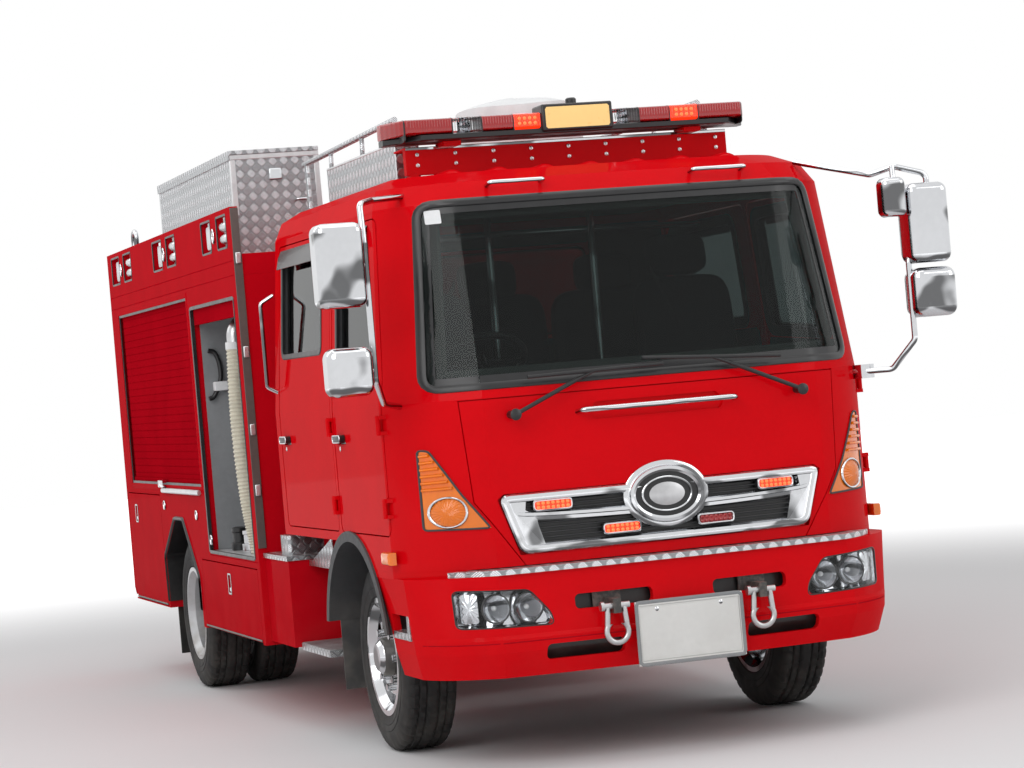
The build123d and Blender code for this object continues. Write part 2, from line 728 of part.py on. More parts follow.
def hub_solid(inner_x, plate_x, outer_x):
    """Hub turning on the spindle, with the flange, the cap and the nuts on the disc."""
    points = [
        (inner_x, HUB_BORE),
        (outer_x - 14, HUB_BORE),
        (outer_x - 14, 0.0),
        (outer_x, 0.0),
        (outer_x, 58),
        (outer_x - 16, 74),
        (plate_x + 8, 86),
        (inner_x, 86),
    ]
    hub = wheel_turn(Polygon(*points, align=None))
    for k in range(STUDS):
        angle = 2 * pi * k / STUDS
        y, z = STUD_CIRCLE * cos(angle), STUD_CIRCLE * sin(angle)
        nut = extrude(RegularPolygon(17, 6), amount=34)
        hub += Pos(plate_x - 6, y, z) * Rot(0, 90, 0) * nut
    return hub


def front_rim():
    mid = FRONT_TYRE_OUT - TYRE_WIDTH / 2
    plate = mid + 78.0
    wheel = barrel_solid(mid) + disc_solid(plate - DISC_WALL, 1, mid + 20)
    return wheel + hub_solid(plate - 95, plate, plate + 62)


def rear_rims():
    """Two wheels bolted back to back on one hub."""
    outer = REAR_TYRE_OUT - TYRE_WIDTH / 2
    inner = outer - TWIN_SPACING
    plate = (outer + inner) / 2
    wheel = barrel_solid(outer) + disc_solid(plate, 1, outer - 95)
    wheel += barrel_solid(inner) + disc_solid(plate, -1, inner + 95)
    return wheel + hub_solid(plate - 170, plate + DISC_WALL, plate + 165)


def on_axle(shape, station):
    return Pos(0, y_at(station), TYRE_RADIUS) * shape


# Steps, locker doors and the like on the side of the body
FLAP = (3000.0, 4440.0, 392.0, 752.0)
HATCH = (5590.0, 6690.0, 446.0, 1088.0)
LEAF = 24.0
REAR_ARCH = [
    (REAR_AXLE - 505, 200.0),
    (REAR_AXLE - 505, 640.0),
    (REAR_AXLE - 140, 956.0),
    (REAR_AXLE + 120, 956.0),
    (REAR_AXLE + 500, 734.0),
    (REAR_AXLE + 480, 200.0),
]
OPEN_BAY = (3015.0, 4180.0, 805.0, 2118.0)
SHUTTER_BAY = (4255.0, 6515.0, 1130.0, 2205.0)
SLOTS = [
    (3045.0, 3290.0),
    (3445.0, 3695.0),
    (4450.0, 4720.0),
    (4860.0, 5150.0),
    (5890.0, 6160.0),
    (6310.0, 6590.0),
]
SLOT_Z = (2374.0, 2537.0)
REAR_BAY = (-590.0, 590.0, 900.0, 2100.0)
MUD_FLAP = (640.0, 1100.0, REAR_AXLE + 520, 160.0)


def body_outline():
    return [
        (BODY_FRONT, BODY_LOW_FRONT),
        (REAR_AXLE - 400, BODY_LOW_FRONT),
        (REAR_AXLE + 400, BODY_LOW_REAR),
        (BODY_REAR - 70, BODY_LOW_REAR),
        (BODY_REAR, BODY_LOW_REAR + 70),
        (BODY_REAR, BODY_TOP),
        (BODY_FRONT, BODY_TOP),
    ]


def make_body():
    """Pump body: lockers along both sides, a deck behind parapets and open wheel arches."""
    w, wall, back = BODY_HALF, BODY_WALL, BODY_HALF - LOCKER_DEPTH
    front, rear = BODY_FRONT, BODY_REAR
    body = side_prism(body_outline(), -w, w)
    body -= block(-w + 40, w - 40, front - 10, rear - 40, DECK, BODY_TOP + 10)
    body -= block(-940, 940, front - 10, front + 200, DECK, BODY_TOP + 10)
    body -= block(-back, back, front + wall, REAR_WALL[0], BAY_FLOOR + 60, DECK - wall)
    body -= block(-back, back, front - 10, rear + 10, 200, RAIL_TOP + RUNNING_GAP)
    arch = side_prism(REAR_ARCH, back - 40, w + 10)
    body -= arch + flipped(arch)
    for s0, s1, z0, z1 in (OPEN_BAY, SHUTTER_BAY):
        cut = block(back + wall, w + 10, s0, s1, z0, z1)
        body -= cut + flipped(cut)
    for s0, s1, z0, z1 in (FLAP, HATCH):
        low = z0 - PANEL_GAP if z0 > BODY_LOW_REAR else z0 - 40
        edge = PANEL_EDGE
        cut = block(back + wall, w - 20, s0 + edge, s1 - edge, z0 + edge, z1 - edge)
        cut += block(w - LEAF - 0.6, w + 10, s0 - PANEL_GAP, s1 + PANEL_GAP, low, z1 + PANEL_GAP)
        body -= cut + flipped(cut)
    for s0, s1 in SLOTS:
        cut = block(w - 60, w + 10, s0, s1, *SLOT_Z)
        body -= cut + flipped(cut)
    body -= block(-900, 900, front - 10, front + 14, 1130, 2196)
    x0, x1, z0, z1 = REAR_BAY
    body -= block(x0, x1, REAR_WALL[1], rear + 10, z0, z1)
    x0, x1, s, low = MUD_FLAP
    return body + both(block(x0, x1, s, s + 6, low, BODY_LOW_REAR + 10))


# Where the body's panels part: the axis, then the place along it, for each level of the body
BODY_WAIST = 764.0
REAR_WALL = (BODY_REAR - 700.0, BODY_REAR - 600.0)
PANEL_EDGE = 30.0
LOCKER_BACK = BODY_HALF - LOCKER_DEPTH
WALL_SEAMS = [
    ("x", side * place) for side in (-1, 1) for place in (LOCKER_BACK, LOCKER_BACK + BODY_WALL)
]
HATCH_SEAMS = [("s", HATCH[0] + PANEL_EDGE), ("s", HATCH[1] - PANEL_EDGE)]
FLAP_SEAMS = [("s", FLAP[0] + PANEL_EDGE), ("s", FLAP[1] - PANEL_EDGE)]
BAY_SEAMS = [("s", OPEN_BAY[0]), ("s", OPEN_BAY[1])]
SHUTTER_SEAMS = [("s", SHUTTER_BAY[0]), ("s", SHUTTER_BAY[1])]
ARCH_SEAMS = [("s", REAR_AXLE - 505.0), ("s", REAR_AXLE + 540.0)]
REAR_SEAMS = [("s", place) for place in REAR_WALL]


def beyond(axis, place, side):
    """Half space past a place on an axis, less half a running gap."""
    reach = 8000.0
    near = place + side * RUNNING_GAP / 2
    low, high = min(near, near + side * reach), max(near, near + side * reach)
    spans = {"x": (-reach, reach), "s": (-reach, reach), "z": (-reach, reach)}
    spans[axis] = (low, high)
    return block(*spans["x"], *spans["s"], *spans["z"])


def parted(shape, seams):
    """The shape cut into separate panels at the seams."""
    for axis, place in seams:
        shape = (shape & beyond(axis, place, -1)) + (shape & beyond(axis, place, 1))
    return shape


def shutter(s_or_x, across_width, z0, z1):
    """Slatted curtain lying in the XZ plane at y = 0, its middle at x = s_or_x."""
    slat, thick = 42.0, 10.0
    curtain = Pos(s_or_x, 0, (z0 + z1) / 2) * Box(across_width, thick, z1 - z0)
    count = int((z1 - z0 - 80) / slat)
    for k in range(count):
        z = z1 - 20 - slat * (k + 1)
        curtain -= Pos(s_or_x, -thick / 2, z) * Box(across_width + 2, 5, 5)
    curtain += Pos(s_or_x, -6, z0 + 30) * Box(across_width, 14, 60)
    return curtain


def make_shutters():
    """Closed roller shutters of the side lockers and the tail, and the raised one over the open bay."""
    s0, s1, z0, z1 = SHUTTER_BAY
    side = shutter(0, s1 - s0 - 1, z0 + 0.5, z1 - 0.5)
    right = Pos(-BODY_HALF + 26, y_at((s0 + s1) / 2), 0) * Rot(0, 0, -90) * side
    pieces = both(right)
    s0, s1, z0, z1 = OPEN_BAY
    left = Pos(BODY_HALF - 26, y_at((s0 + s1) / 2), 0) * Rot(0, 0, 90) * shutter(
        0, s1 - s0 - 1, z0 + 0.5, z1 - 0.5
    )
    raised = block(-BODY_HALF + 16, -BODY_HALF + 36, s0 + 0.5, s1 - 0.5, z1 - 92, z1 - 0.5)
    x0, x1, z0, z1 = REAR_BAY
    tail = Pos(0, y_at(BODY_REAR - 26), 0) * Rot(0, 0, 180) * shutter(0, x1 - x0 - 1, z0 + 0.5, z1 - 0.5)
    return pieces + left + raised + tail


def make_flap():
    """Left drop-down flap with its pull ring."""
    s0, s1, z0, z1 = FLAP
    leaf = block(BODY_HALF - LEAF, BODY_HALF, s0, s1, z0, z1)
    mid = (s0 + s1) / 2
    leaf -= block(BODY_HALF - 12, BODY_HALF + 5, mid - 36, mid + 36, z1 - 150, z1 - 50)
    return leaf + block(BODY_HALF - 14, BODY_HALF - 4, mid - 22, mid + 22, z1 - 140, z1 - 120)


def make_hatch():
    """Left rear locker door with its corner cut to follow the tail."""
    s0, s1, z0, z1 = HATCH
    outline = [(s0, z0), (s1 - 60, z0), (s1, z0 + 60), (s1, z1), (s0, z1)]
    leaf = side_prism(outline, BODY_HALF - LEAF, BODY_HALF)
    s = s1 - 260
    leaf -= block(BODY_HALF - 12, BODY_HALF + 5, s - 36, s + 36, z1 - 170, z1 - 70)
    return leaf + block(BODY_HALF - 14, BODY_HALF - 4, s - 22, s + 22, z1 - 160, z1 - 140)


# Roof locker
BOX_X = (-950.0, -470.0)
BOX_S = (3764.0, 5863.0)
BOX_TOP = 2896.0
LID = 20.0


def make_roof_box():
    x0, x1 = BOX_X
    s0, s1 = BOX_S
    box = block(x0, x1, s0, s1, DECK + RUNNING_GAP, BOX_TOP)
    return box - block(x0 + 15, x1 - 15, s0 + 15, s1 - 15, DECK + 15, BOX_TOP + 10)


def make_roof_lid():
    x0, x1 = BOX_X
    s0, s1 = BOX_S
    z = BOX_TOP + RUNNING_GAP
    lid = block(x0 - 8, x1, s0 - 8, s1 + 8, z, z + LID)
    lip = block(x0 - 8, x0 - 3, s0 - 8, s1 + 8, z - 28, z + LID)
    return lid + lip


# Deck fence and rails over the cab
FENCE_OUT = 742.0
FENCE_S = (1212.0, 2500.0)
FENCE_Z = (ROOF_TOP + RUNNING_GAP, 2690.0)


def make_fence():
    """Tread plate fences each side of the cab roof deck, with the rails above them."""
    s0, s1 = FENCE_S
    z0, z1 = FENCE_Z
    side = block(FENCE_OUT - 5, FENCE_OUT, s0, s1, z0, z1)
    side += block(FENCE_OUT - 45, FENCE_OUT, s0, s1, z0, z0 + 5)
    side += block(FENCE_OUT - 110, FENCE_OUT, s0, s0 + 5, z0 + 30, z1)
    rail = rod((FENCE_OUT - 20, s0 + 40, 2790), (FENCE_OUT - 20, BODY_FRONT + 120, 2760), 14)
    for s in (s0 + 60, (s0 + s1) / 2, s1 - 30):
        rail += rod((FENCE_OUT - 13, s, z0 + 30), (FENCE_OUT - 20, s, 2775), 11)
    foot = rod((FENCE_OUT - 20, BODY_FRONT + 60, DECK + RUNNING_GAP), (FENCE_OUT - 20, BODY_FRONT + 60, 2755), 14)
    return both(side + rail + foot)


# Light bar
BEAM_S = (1012.0, 1052.0)
BEAM_HALF = 752.0
BEAM_Z = (2520.0, 2642.0)
BAR_HALF = 846.0
BAR_Z = (2654.0, 2752.0)
BAR_S = (860.0, 1110.0)


def make_lightbar_beam():
    """Beam across the roof that carries the light bar."""
    s0, s1 = BEAM_S
    beam = block(-BEAM_HALF, BEAM_HALF, s0, s1, BEAM_Z[0], BEAM_Z[1])
    beam += block(-BEAM_HALF, BEAM_HALF, s0, s0 + 190, BEAM_Z[1] - 8, BEAM_Z[1])
    for side in (-1, 1):
        foot = block(side * 720 - 20, side * 720 + 20, s0 - 10, s1 + 10, 2470, 2522)
        beam += foot - cab_solid(-RUNNING_GAP)
        beam += block(side * 560 - 40, side * 560 + 40, s0 - 90, s1, BEAM_Z[1] - 8, BAR_Z[0] - RUNNING_GAP)
    return beam


def make_lightbar():
    """Base tray and lens housing of the light bar."""
    s0, s1 = BAR_S
    z0, z1 = BAR_Z
    mid = (s0 + s1) / 2
    outline = [
        (-BAR_HALF, y_at(mid + 60)),
        (-BAR_HALF + 80, y_at(s0)),
        (BAR_HALF - 80, y_at(s0)),
        (BAR_HALF, y_at(mid + 60)),
        (BAR_HALF - 20, y_at(s1)),
        (-BAR_HALF + 20, y_at(s1)),
    ]
    face = fillet(Polygon(*outline, align=None).vertices(), 18)
    return extrude(Pos(0, 0, z0) * face, amount=z1 - z0) + make_sign()


def make_sign():
    """Box over the middle of the light bar with a blank lit panel."""
    s0 = BAR_S[0]
    box = block(-165, 165, s0 - 14, s0 + 130, BAR_Z[0] + 8, BAR_Z[1] + 32)
    return box + block(-24, 24, s0 + 40, s0 + 90, BAR_Z[1] + 20, BAR_Z[1] + 62)


# Mirrors
def mirror_head(x0, x1, s0, s1, z0, z1, radius):
    head = block(x0, x1, s0, s1, z0, z1)
    return fillet(head.edges(), radius)


def make_mirrors():
    """Mirror arms and heads of both front corners, seated on the cab's skin."""
    left = bent_tube(
        [
            (880, 560, 2440),
            (1120, 300, 2345),
            (1200, 230, 2370),
            (1345, 220, 2330),
            (1345, 220, 2120),
            (1230, 220, 1960),
            (1230, 220, 1620),
            (1150, 300, 1500),
            (1000, 420, 1500),
        ],
        13,
        36,
    )
    left += mirror_head(1225, 1415, 150, 300, 1945, 2290, 38)
    left += mirror_head(1225, 1425, 150, 290, 1712, 1925, 42)
    left += mirror_head(1105, 1215, 140, 240, 2150, 2320, 30)
    left += rod((1180, 200, 2300), (1190, 225, 2370), 12)
    left += upright(44, 1062, 405, 1470, 1530)
    right = bent_tube(
        [
            (-900, 570, 2400),
            (-1090, 380, 2380),
            (-1170, 260, 2360),
            (-1170, 240, 2200),
            (-1170, 240, 1640),
            (-1120, 330, 1540),
            (-1020, 440, 1520),
        ],
        13,
        30,
    )
    right += mirror_head(-1390, -1190, 150, 300, 1940, 2285, 38)
    right += mirror_head(-1380, -1190, 150, 295, 1580, 1780, 42)
    right += rod((-1170, 240, 2110), (-1230, 240, 2110), 12)
    right += rod((-1170, 240, 1680), (-1230, 240, 1680), 12)
    return (left + right) - cab_solid(-RUNNING_GAP)


# Wipers: pivot x, middle of the arm (x, station, z), blade start and end (x, station, z)
WIPERS = [
    (-630.0, (-330.0, 128.0, 1580.0), (-560.0, 122.0, 1600.0), (30.0, 116.0, 1610.0)),
    (640.0, (330.0, 128.0, 1590.0), (560.0, 126.0, 1602.0), (-60.0, 118.0, 1640.0)),
]


def make_wipers():
    """Two wipers parked low on the windscreen."""
    pieces = None
    for pivot_x, middle, start, end in WIPERS:
        hub = Pos(pivot_x, y_at(140), 1452) * Rot(90, 0, 0) * Cylinder(17, 90)
        arm = rod((pivot_x, 106, 1452), middle, 9)
        centre = tuple((a + b) / 2 for a, b in zip(start, end))
        piece = hub + arm + rod(middle, centre, 7) + rod(start, end, 8)
        pieces = piece if pieces is None else pieces + piece
    return pieces - cab_solid(-RUNNING_GAP)


def make_roof_grips():
    """Grab handles over the windscreen, across the hood and on the cab's rear corners."""
    grip = bent_tube(
        [(337, 450, 2412), (337, 372, 2424), (573, 372, 2424), (573, 450, 2412)], 9, 14
    )
    rear = bent_tube(
        [(1060, 2506, 2095), (1122, 2522, 2060), (1122, 2522, 1655), (1060, 2506, 1620)], 10, 24
    )
    hood = bent_tube(
        [(-352, 190, 1436), (-338, 104, 1446), (338, 104, 1446), (352, 190, 1436)], 12, 24
    )
    return (both(grip + rear) + hood) - cab_solid(-RUNNING_GAP)


# Cab interior
def make_seats():
    """Driver's, passenger's and crew seats on their boxes."""
    floor = CAB_FLOOR + RUNNING_GAP
    seats = None
    for x in (-640.0, 640.0):
        seat = block(x - 240, x + 240, 930, 1400, floor, 1420)
        seat += Pos(x, y_at(1430), 1760) * Rot(-10, 0, 0) * Box(480, 110, 760)
        seats = seat if seats is None else seats + seat
    bench = block(-900, 900, 1980, 2440, floor, 1420)
    bench += block(-900, 900, 2390, 2490, 1380, 2050)
    return seats + bench


COLUMN_AT = (-600.0, 560.0, 1420.0)
COLUMN_TILT = 32.0
COLUMN_LENGTH = 300.0
COLUMN_RADIUS = 26.0


def on_column(shape):
    """Places a shape made about Z on the steering column's axis, its foot at the dashboard."""
    x, s, z = COLUMN_AT
    return Pos(x, y_at(s), z) * Rot(-COLUMN_TILT, 0, 0) * shape


def make_dashboard():
    points = [(240, 1200), (420, 1060), (640, 1100), (600, 1480), (470, 1540), (240, 1480)]
    dash = side_prism(points, -880, 880, 20.0)
    dash = dash & cab_solid(CAB_WALL + RUNNING_GAP, low=CAB_FLOOR + 10)
    bore = Pos(0, 0, 200 - RUNNING_GAP) * Cylinder(COLUMN_RADIUS + RUNNING_GAP, 400)
    return dash - on_column(bore)


def make_steering_wheel():
    ring = Torus(215, 15) + Cylinder(48, 40) + Box(420, 26, 14)
    column = Pos(0, 0, -COLUMN_LENGTH / 2) * Cylinder(COLUMN_RADIUS, COLUMN_LENGTH)
    return on_column(Pos(0, 0, COLUMN_LENGTH) * (ring + column))


# Steps between the cab and the body
SHELF_TOP = 838.0


def make_step_box():
    """Red locker with a tread plate top ahead of the body on each side."""
    box = block(720, BODY_HALF - 30, 2400, BODY_FRONT - RUNNING_GAP, 400, 815)
    box -= block(735, BODY_HALF - 45, 2415, BODY_FRONT - 20, 415, 800)
    return both(box)


def make_steps():
    """Bright cab steps: a lower tread, an upper tread, the riser between them and its arms."""
    low = block(700, BODY_HALF - 60, 1815, 2390, 388, 420)
    low += block(720, 732, 1830, 2390, 415, 800)
    low += block(720, BODY_HALF - 130, 1830, 2390, 786, 812)
    for s in (1880.0, 2300.0):
        low += block(RAIL_OUT + RUNNING_GAP, 730, s, s + 40, 640, 700)
    gusset = side_prism([(1850, 812), (2330, 812), (1905, 930)], BODY_HALF - 138, BODY_HALF - 132)
    top = block(720, BODY_HALF - 22, 2392, BODY_FRONT - 2, 815 + RUNNING_GAP, SHELF_TOP)
    return both(low + gusset + top)


def make_tool_case():
    """Small case with a spout, strapped on the right step's shelf."""
    foot = SHELF_TOP + RUNNING_GAP
    case = block(-1085, -905, 2520, 2700, foot, foot + 92)
    case = fillet(case.edges().filter_by(Axis.Z), 16)
    return case + rod((-1000, 2600, foot + 80), (-1000, 2600, foot + 128), 34)


def make_mudguards():
    """Liners over the front wheels, with the lip that trims the opening."""
    y, z = FRONT_AXLE, TYRE_RADIUS
    ring = across(LINER_RADIUS + 8, 560, CAB_HALF + 10, y, z) + across(
        ARCH_RADIUS + 28, CAB_HALF + RUNNING_GAP, CAB_HALF + 10, y, z
    )
    ring -= across(LINER_RADIUS, 550, 1200, y, z)
    ring -= block(500, 1200, 0, 3000, -200, 560)
    behind = FRONT_AXLE + 506.0
    return both(ring + block(620, 1040, behind, behind + 6, 240, 575))


# Tail
def make_tail():
    """Rear bumper step, its lamps and the ladder up to the deck."""
    step = block(-1080, 1080, BODY_REAR + RUNNING_GAP, REAR_END, 470, 600)
    ladder = None
    for x in (700.0, 1020.0):
        post = rod((x, BODY_REAR + 45, 640), (x, BODY_REAR + 45, 2560), 14)
        ladder = post if ladder is None else ladder + post
    for k in range(6):
        z = 760.0 + k * 330.0
        ladder += rod((700, BODY_REAR + 45, z), (1020, BODY_REAR + 45, z), 12)
    for x in (700.0, 1020.0):
        for z in (700.0, 2500.0):
            ladder += rod((x, BODY_REAR + RUNNING_GAP, z), (x, BODY_REAR + 45, z), 12)
    return step + ladder


def make_tail_lamps():
    lamp = None
    for z in (650.0, 2230.0):
        one = block(1040, 1130, BODY_REAR + RUNNING_GAP, BODY_REAR + 30, z, z + 230)
        lamp = one if lamp is None else lamp + one
    return both(lamp)


HOSE_RADIUS = 44.0
HOSE_LINE = [
    (-1040.0, 3430.0, 770.0),
    (-1076.0, 3430.0, 1100.0),
    (-1091.0, 3430.0, 1500.0),
    (-1080.0, 3430.0, 1970.0),
]


def make_suction_hose():
    """Ribbed suction hose standing in the open right bay, with its strainer clamp."""
    foot = OPEN_BAY[2] + RUNNING_GAP
    path = Spline(*[(x, y_at(s), z) for x, s, z in HOSE_LINE])
    hose = sweep(Plane(origin=path @ 0, z_dir=path % 0) * Circle(HOSE_RADIUS), path=path)
    return hose - block(-1150, -700, 3100, 3600, foot - 200, foot)


MONITOR_AT = (-105.0, 1680.0)


def make_monitor():
    """Covered water cannon on the cab roof, behind the light bar."""
    x, station = MONITOR_AT
    base = upright(112, x, station, ROOF_TOP + 24 + RUNNING_GAP, ROOF_TOP + 220)
    barrel = rod((x, station, ROOF_TOP + 280), (x + 150, station - 420, ROOF_TOP + 320), 58)
    return base + barrel + Pos(x, y_at(station), ROOF_TOP + 260) * Sphere(130)


PIECES = {
    "frame": make_frame,
    "powertrain": make_powertrain,
    "front_axle": make_front_axle,
    "rear_axle": make_rear_axle,
    "cab_glass": lambda: make_windscreen() + make_rear_pane(),
    "front_panel": make_front_panel,
    "grille": make_grille,
    "grille_mesh": make_grille_mesh,
    "turn_lamps": make_turn_lamps,
    "front_bumper": make_bumper,
    "tread_strip": make_bumper_tread,
    "headlamps": make_headlamps,
    "number_plate": make_plate,
    "shackles": lambda: make_shackle(SHACKLE_OUT) + make_shackle(-SHACKLE_OUT),
    "wipers": make_wipers,
    "roof_grips": make_roof_grips,
    "mirrors": make_mirrors,
    "seats": make_seats,
    "dashboard": make_dashboard,
    "steering_wheel": make_steering_wheel,
    "front_liners": make_mudguards,
    "cab_steps": lambda: make_steps() + both(make_side_steps()) + make_tool_case(),
    "shutters": make_shutters,
    "suction_hose": make_suction_hose,
    "roof_box": make_roof_box,
    "roof_box_lid": make_roof_lid,
    "deck_fence": make_fence,
    "monitor": make_monitor,
    "lightbar_beam": make_lightbar_beam,
    "lightbar": make_lightbar,
    "tail_step": make_tail,
    "tail_lamps": make_tail_lamps,
}


def add_shells(pieces):
    """The cab and the body, parted where their panels meet."""
    cab, body = make_cab(), make_body()
    low, high = CAB_JOINTS
    pieces["cab_base"] = level_part(cab, None, low)
    pieces["cab_pillars"] = level_part(cab, low, high)
    pieces["cab_roof"] = level_part(cab, high, None)
    low, high = BODY_JOINTS
    under = level_part(body, None, BODY_WAIST)
    waist = level_part(body, BODY_WAIST, low)
    base = parted(under, WALL_SEAMS + FLAP_SEAMS + ARCH_SEAMS + HATCH_SEAMS)
    base += parted(waist, WALL_SEAMS + BAY_SEAMS + ARCH_SEAMS + HATCH_SEAMS + REAR_SEAMS)
    pieces["body_base"] = base + make_step_box()
    seams = WALL_SEAMS + BAY_SEAMS + SHUTTER_SEAMS + REAR_SEAMS
    pieces["body_lockers"] = parted(level_part(body, low, high), seams)
    pieces["body_deck"] = level_part(body, high, None)


def add_sided(pieces):
    """Doors, flaps, wheels and knuckles, one per side."""
    doors = {
        "front_door": (FRONT_DOOR, FRONT_WINDOW),
        "rear_door": (REAR_DOOR, REAR_WINDOW),
    }
    left = {}
    for name, (door, window) in doors.items():
        left[name] = make_door(door, window)
        left[name + "_glass"] = make_door_glass(window)
    left["flap"] = make_flap()
    left["hatch"] = make_hatch()
    left["knuckle"] = make_knuckle()
    left["front_tyre"] = on_axle(tyre_solid(FRONT_TYRE_OUT), FRONT_AXLE)
    left["front_rim"] = on_axle(front_rim(), FRONT_AXLE)
    inner_out = REAR_TYRE_OUT - TWIN_SPACING
    left["rear_tyres"] = on_axle(tyre_solid(REAR_TYRE_OUT) + tyre_solid(inner_out), REAR_AXLE)
    left["rear_rims"] = on_axle(rear_rims(), REAR_AXLE)
    for name, shape in left.items():
        pieces[name + "_left"] = shape
        pieces[name + "_right"] = flipped(shape)


def main():
    os.makedirs("parts", exist_ok=True)
    pieces = {name: make() for name, make in PIECES.items()}
    add_shells(pieces)
    add_sided(pieces)
    for name, shape in pieces.items():
        export_step(shape, f"parts/{name}.step")


if __name__ == "__main__":
    main()
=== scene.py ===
"""Dresses the fire engine's frame: finishes on every node, finer pieces, studio light and camera.

Lengths in the sub-assemblies are millimetres: x to the vehicle's left, a station behind the bumper's
face, and z up. at() turns them into the frame's metres.
"""

import json
import logging
from dataclasses import dataclass
from enum import Enum
from typing import Sequence

import bmesh
import bpy
import numpy as np
from mathutils import Matrix


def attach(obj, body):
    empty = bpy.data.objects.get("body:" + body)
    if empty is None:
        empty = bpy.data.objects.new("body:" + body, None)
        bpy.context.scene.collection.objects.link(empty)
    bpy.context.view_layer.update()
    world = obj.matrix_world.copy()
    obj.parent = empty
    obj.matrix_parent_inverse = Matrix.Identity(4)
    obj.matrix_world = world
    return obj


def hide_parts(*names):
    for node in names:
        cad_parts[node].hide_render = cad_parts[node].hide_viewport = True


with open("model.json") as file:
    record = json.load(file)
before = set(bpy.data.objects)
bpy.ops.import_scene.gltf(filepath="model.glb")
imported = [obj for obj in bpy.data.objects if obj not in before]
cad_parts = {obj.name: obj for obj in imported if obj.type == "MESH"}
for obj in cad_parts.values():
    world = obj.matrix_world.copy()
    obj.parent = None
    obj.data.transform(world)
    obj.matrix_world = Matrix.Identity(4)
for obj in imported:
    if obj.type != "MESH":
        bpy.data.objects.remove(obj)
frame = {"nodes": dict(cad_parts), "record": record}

LOG = logging.getLogger("fire_engine")
logging.basicConfig(level=logging.INFO, format="%(name)s: %(message)s")
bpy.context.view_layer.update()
MIDDLE = 3365.0
FRONT_AXLE, REAR_AXLE, HUB_HEIGHT = 1252.0, 5042.0, 420.0
CAB_HALF, BODY_HALF = 1085.0, 1150.0

Array = np.ndarray
Socket = bpy.types.NodeSocket


def at(x: Array | float, station: Array | float, z: Array | float) -> Array:
    """Points in the frame's metres from x, station and z in millimetres."""
    x, station, z = np.broadcast_arrays(x, station, z)
    return np.stack([x, station - MIDDLE, z], axis=-1).astype(float) / 1000.0


def angles(count: int) -> Array:
    """Equal steps of a full turn in radians, without its end."""
    return np.linspace(0, 2 * np.pi, count, endpoint=False)


# Meshes


@dataclass
class Patch:
    """Points and faces of a surface, in the frame's metres."""

    verts: Array
    faces: list

    def __add__(self, other: "Patch") -> "Patch":
        """Both surfaces as one."""
        return joined([self, other])

    def flipped(self) -> "Patch":
        """The surface on the vehicle's other side, with its faces turned to match."""
        return Patch(self.verts * np.array([-1.0, 1.0, 1.0]), [f[::-1] for f in self.faces])


def joined(patches: list) -> Patch:
    """All patches as one, each patch's face numbers moved on by the points before it."""
    bases = np.cumsum([0] + [len(p.verts) for p in patches[:-1]])
    faces = [tuple(i + base for i in f) for p, base in zip(patches, bases.tolist()) for f in p.faces]
    return Patch(np.concatenate([p.verts for p in patches]), faces)


def grid(points: Array, round_u: bool = False, round_v: bool = False, cap: bool = False) -> Patch:
    """Surface through a grid of points, with quads between neighbours.

    Args:
        points: array of shape (rows, columns, 3); a row is a line of constant u.
        round_u: joins the last row to the first.
        round_v: joins the last column to the first.
        cap: closes the first and the last row with one face each; a small ring, a pole, is always closed.

    Returns:
        The patch of quads.
    """
    rows, cols = points.shape[:2]
    reach = 0.06 * np.ptp(points.reshape(-1, 3), axis=0).max()
    poles = [round_v and not round_u and np.ptp(points[row], axis=0).max() < reach for row in (0, -1)]
    i = np.arange(rows if round_u else rows - 1)[:, None]
    j = np.arange(cols if round_v else cols - 1)[None, :]
    a, b = i * cols + j, i * cols + (j + 1) % cols
    c, d = ((i + 1) % rows) * cols + (j + 1) % cols, ((i + 1) % rows) * cols + j
    faces = [tuple(f) for f in np.stack([a, b, c, d], axis=-1).reshape(-1, 4).tolist()]
    if cap or poles[0]:
        faces.append(tuple(range(cols - 1, -1, -1)))
    if cap or poles[1]:
        faces.append(tuple(range((rows - 1) * cols, rows * cols)))
    return Patch(points.reshape(-1, 3), faces)


def tube(path: Array, radius: Array | float, sides: int = 12, up: Sequence[float] = (0, 0, 1)) -> Patch:
    """Closed round tube along a path.

    A point is the path's point plus radius times (cos a times the normal plus sin a times the
    binormal), where the normal is the tangent crossed with a fixed direction.

    Args:
        path: array (n, 3) in metres.
        radius: in metres, one number or one for each point of the path.
        sides: corners of the section.
        up: the fixed direction; where the path runs along it, the Y axis takes its place.

    Returns:
        The tube.
    """
    tangent = np.gradient(path, axis=0)
    tangent /= np.linalg.norm(tangent, axis=1, keepdims=True)
    normal = np.cross(tangent, np.array(up, float))
    level = np.linalg.norm(normal, axis=1, keepdims=True) < 1e-6
    normal = np.where(level, np.cross(tangent, (0.0, 1.0, 0.0)), normal)
    normal /= np.linalg.norm(normal, axis=1, keepdims=True)
    binormal = np.cross(tangent, normal)
    a = angles(sides)[None, :, None]
    r = np.broadcast_to(radius, (len(path),))[:, None, None]
    ring = np.cos(a) * normal[:, None] + np.sin(a) * binormal[:, None]
    return grid(path[:, None] + r * ring, round_v=True, cap=True)


def lathe(profile: Sequence, centre: Sequence[float], axis: int, turns: int = 48) -> Patch:
    """Turned surface: each profile point goes round the axis through the centre.

    Args:
        profile: points (millimetres along the axis from the centre, millimetres from the axis).
        centre: (x, station, z).
        axis: 0, 1 or 2 for x, station or z.
        turns: corners of each ring.

    Returns:
        The turned patch.
    """
    profile = np.asarray(profile, float)
    a = angles(turns)
    out = np.empty((len(profile), turns, 3))
    out[..., axis] = profile[:, :1]
    out[..., (axis + 1) % 3] = profile[:, 1:] * np.cos(a)
    out[..., (axis + 2) % 3] = profile[:, 1:] * np.sin(a)
    return grid(at(*np.moveaxis(out + np.array(centre, float), -1, 0)), round_v=True)


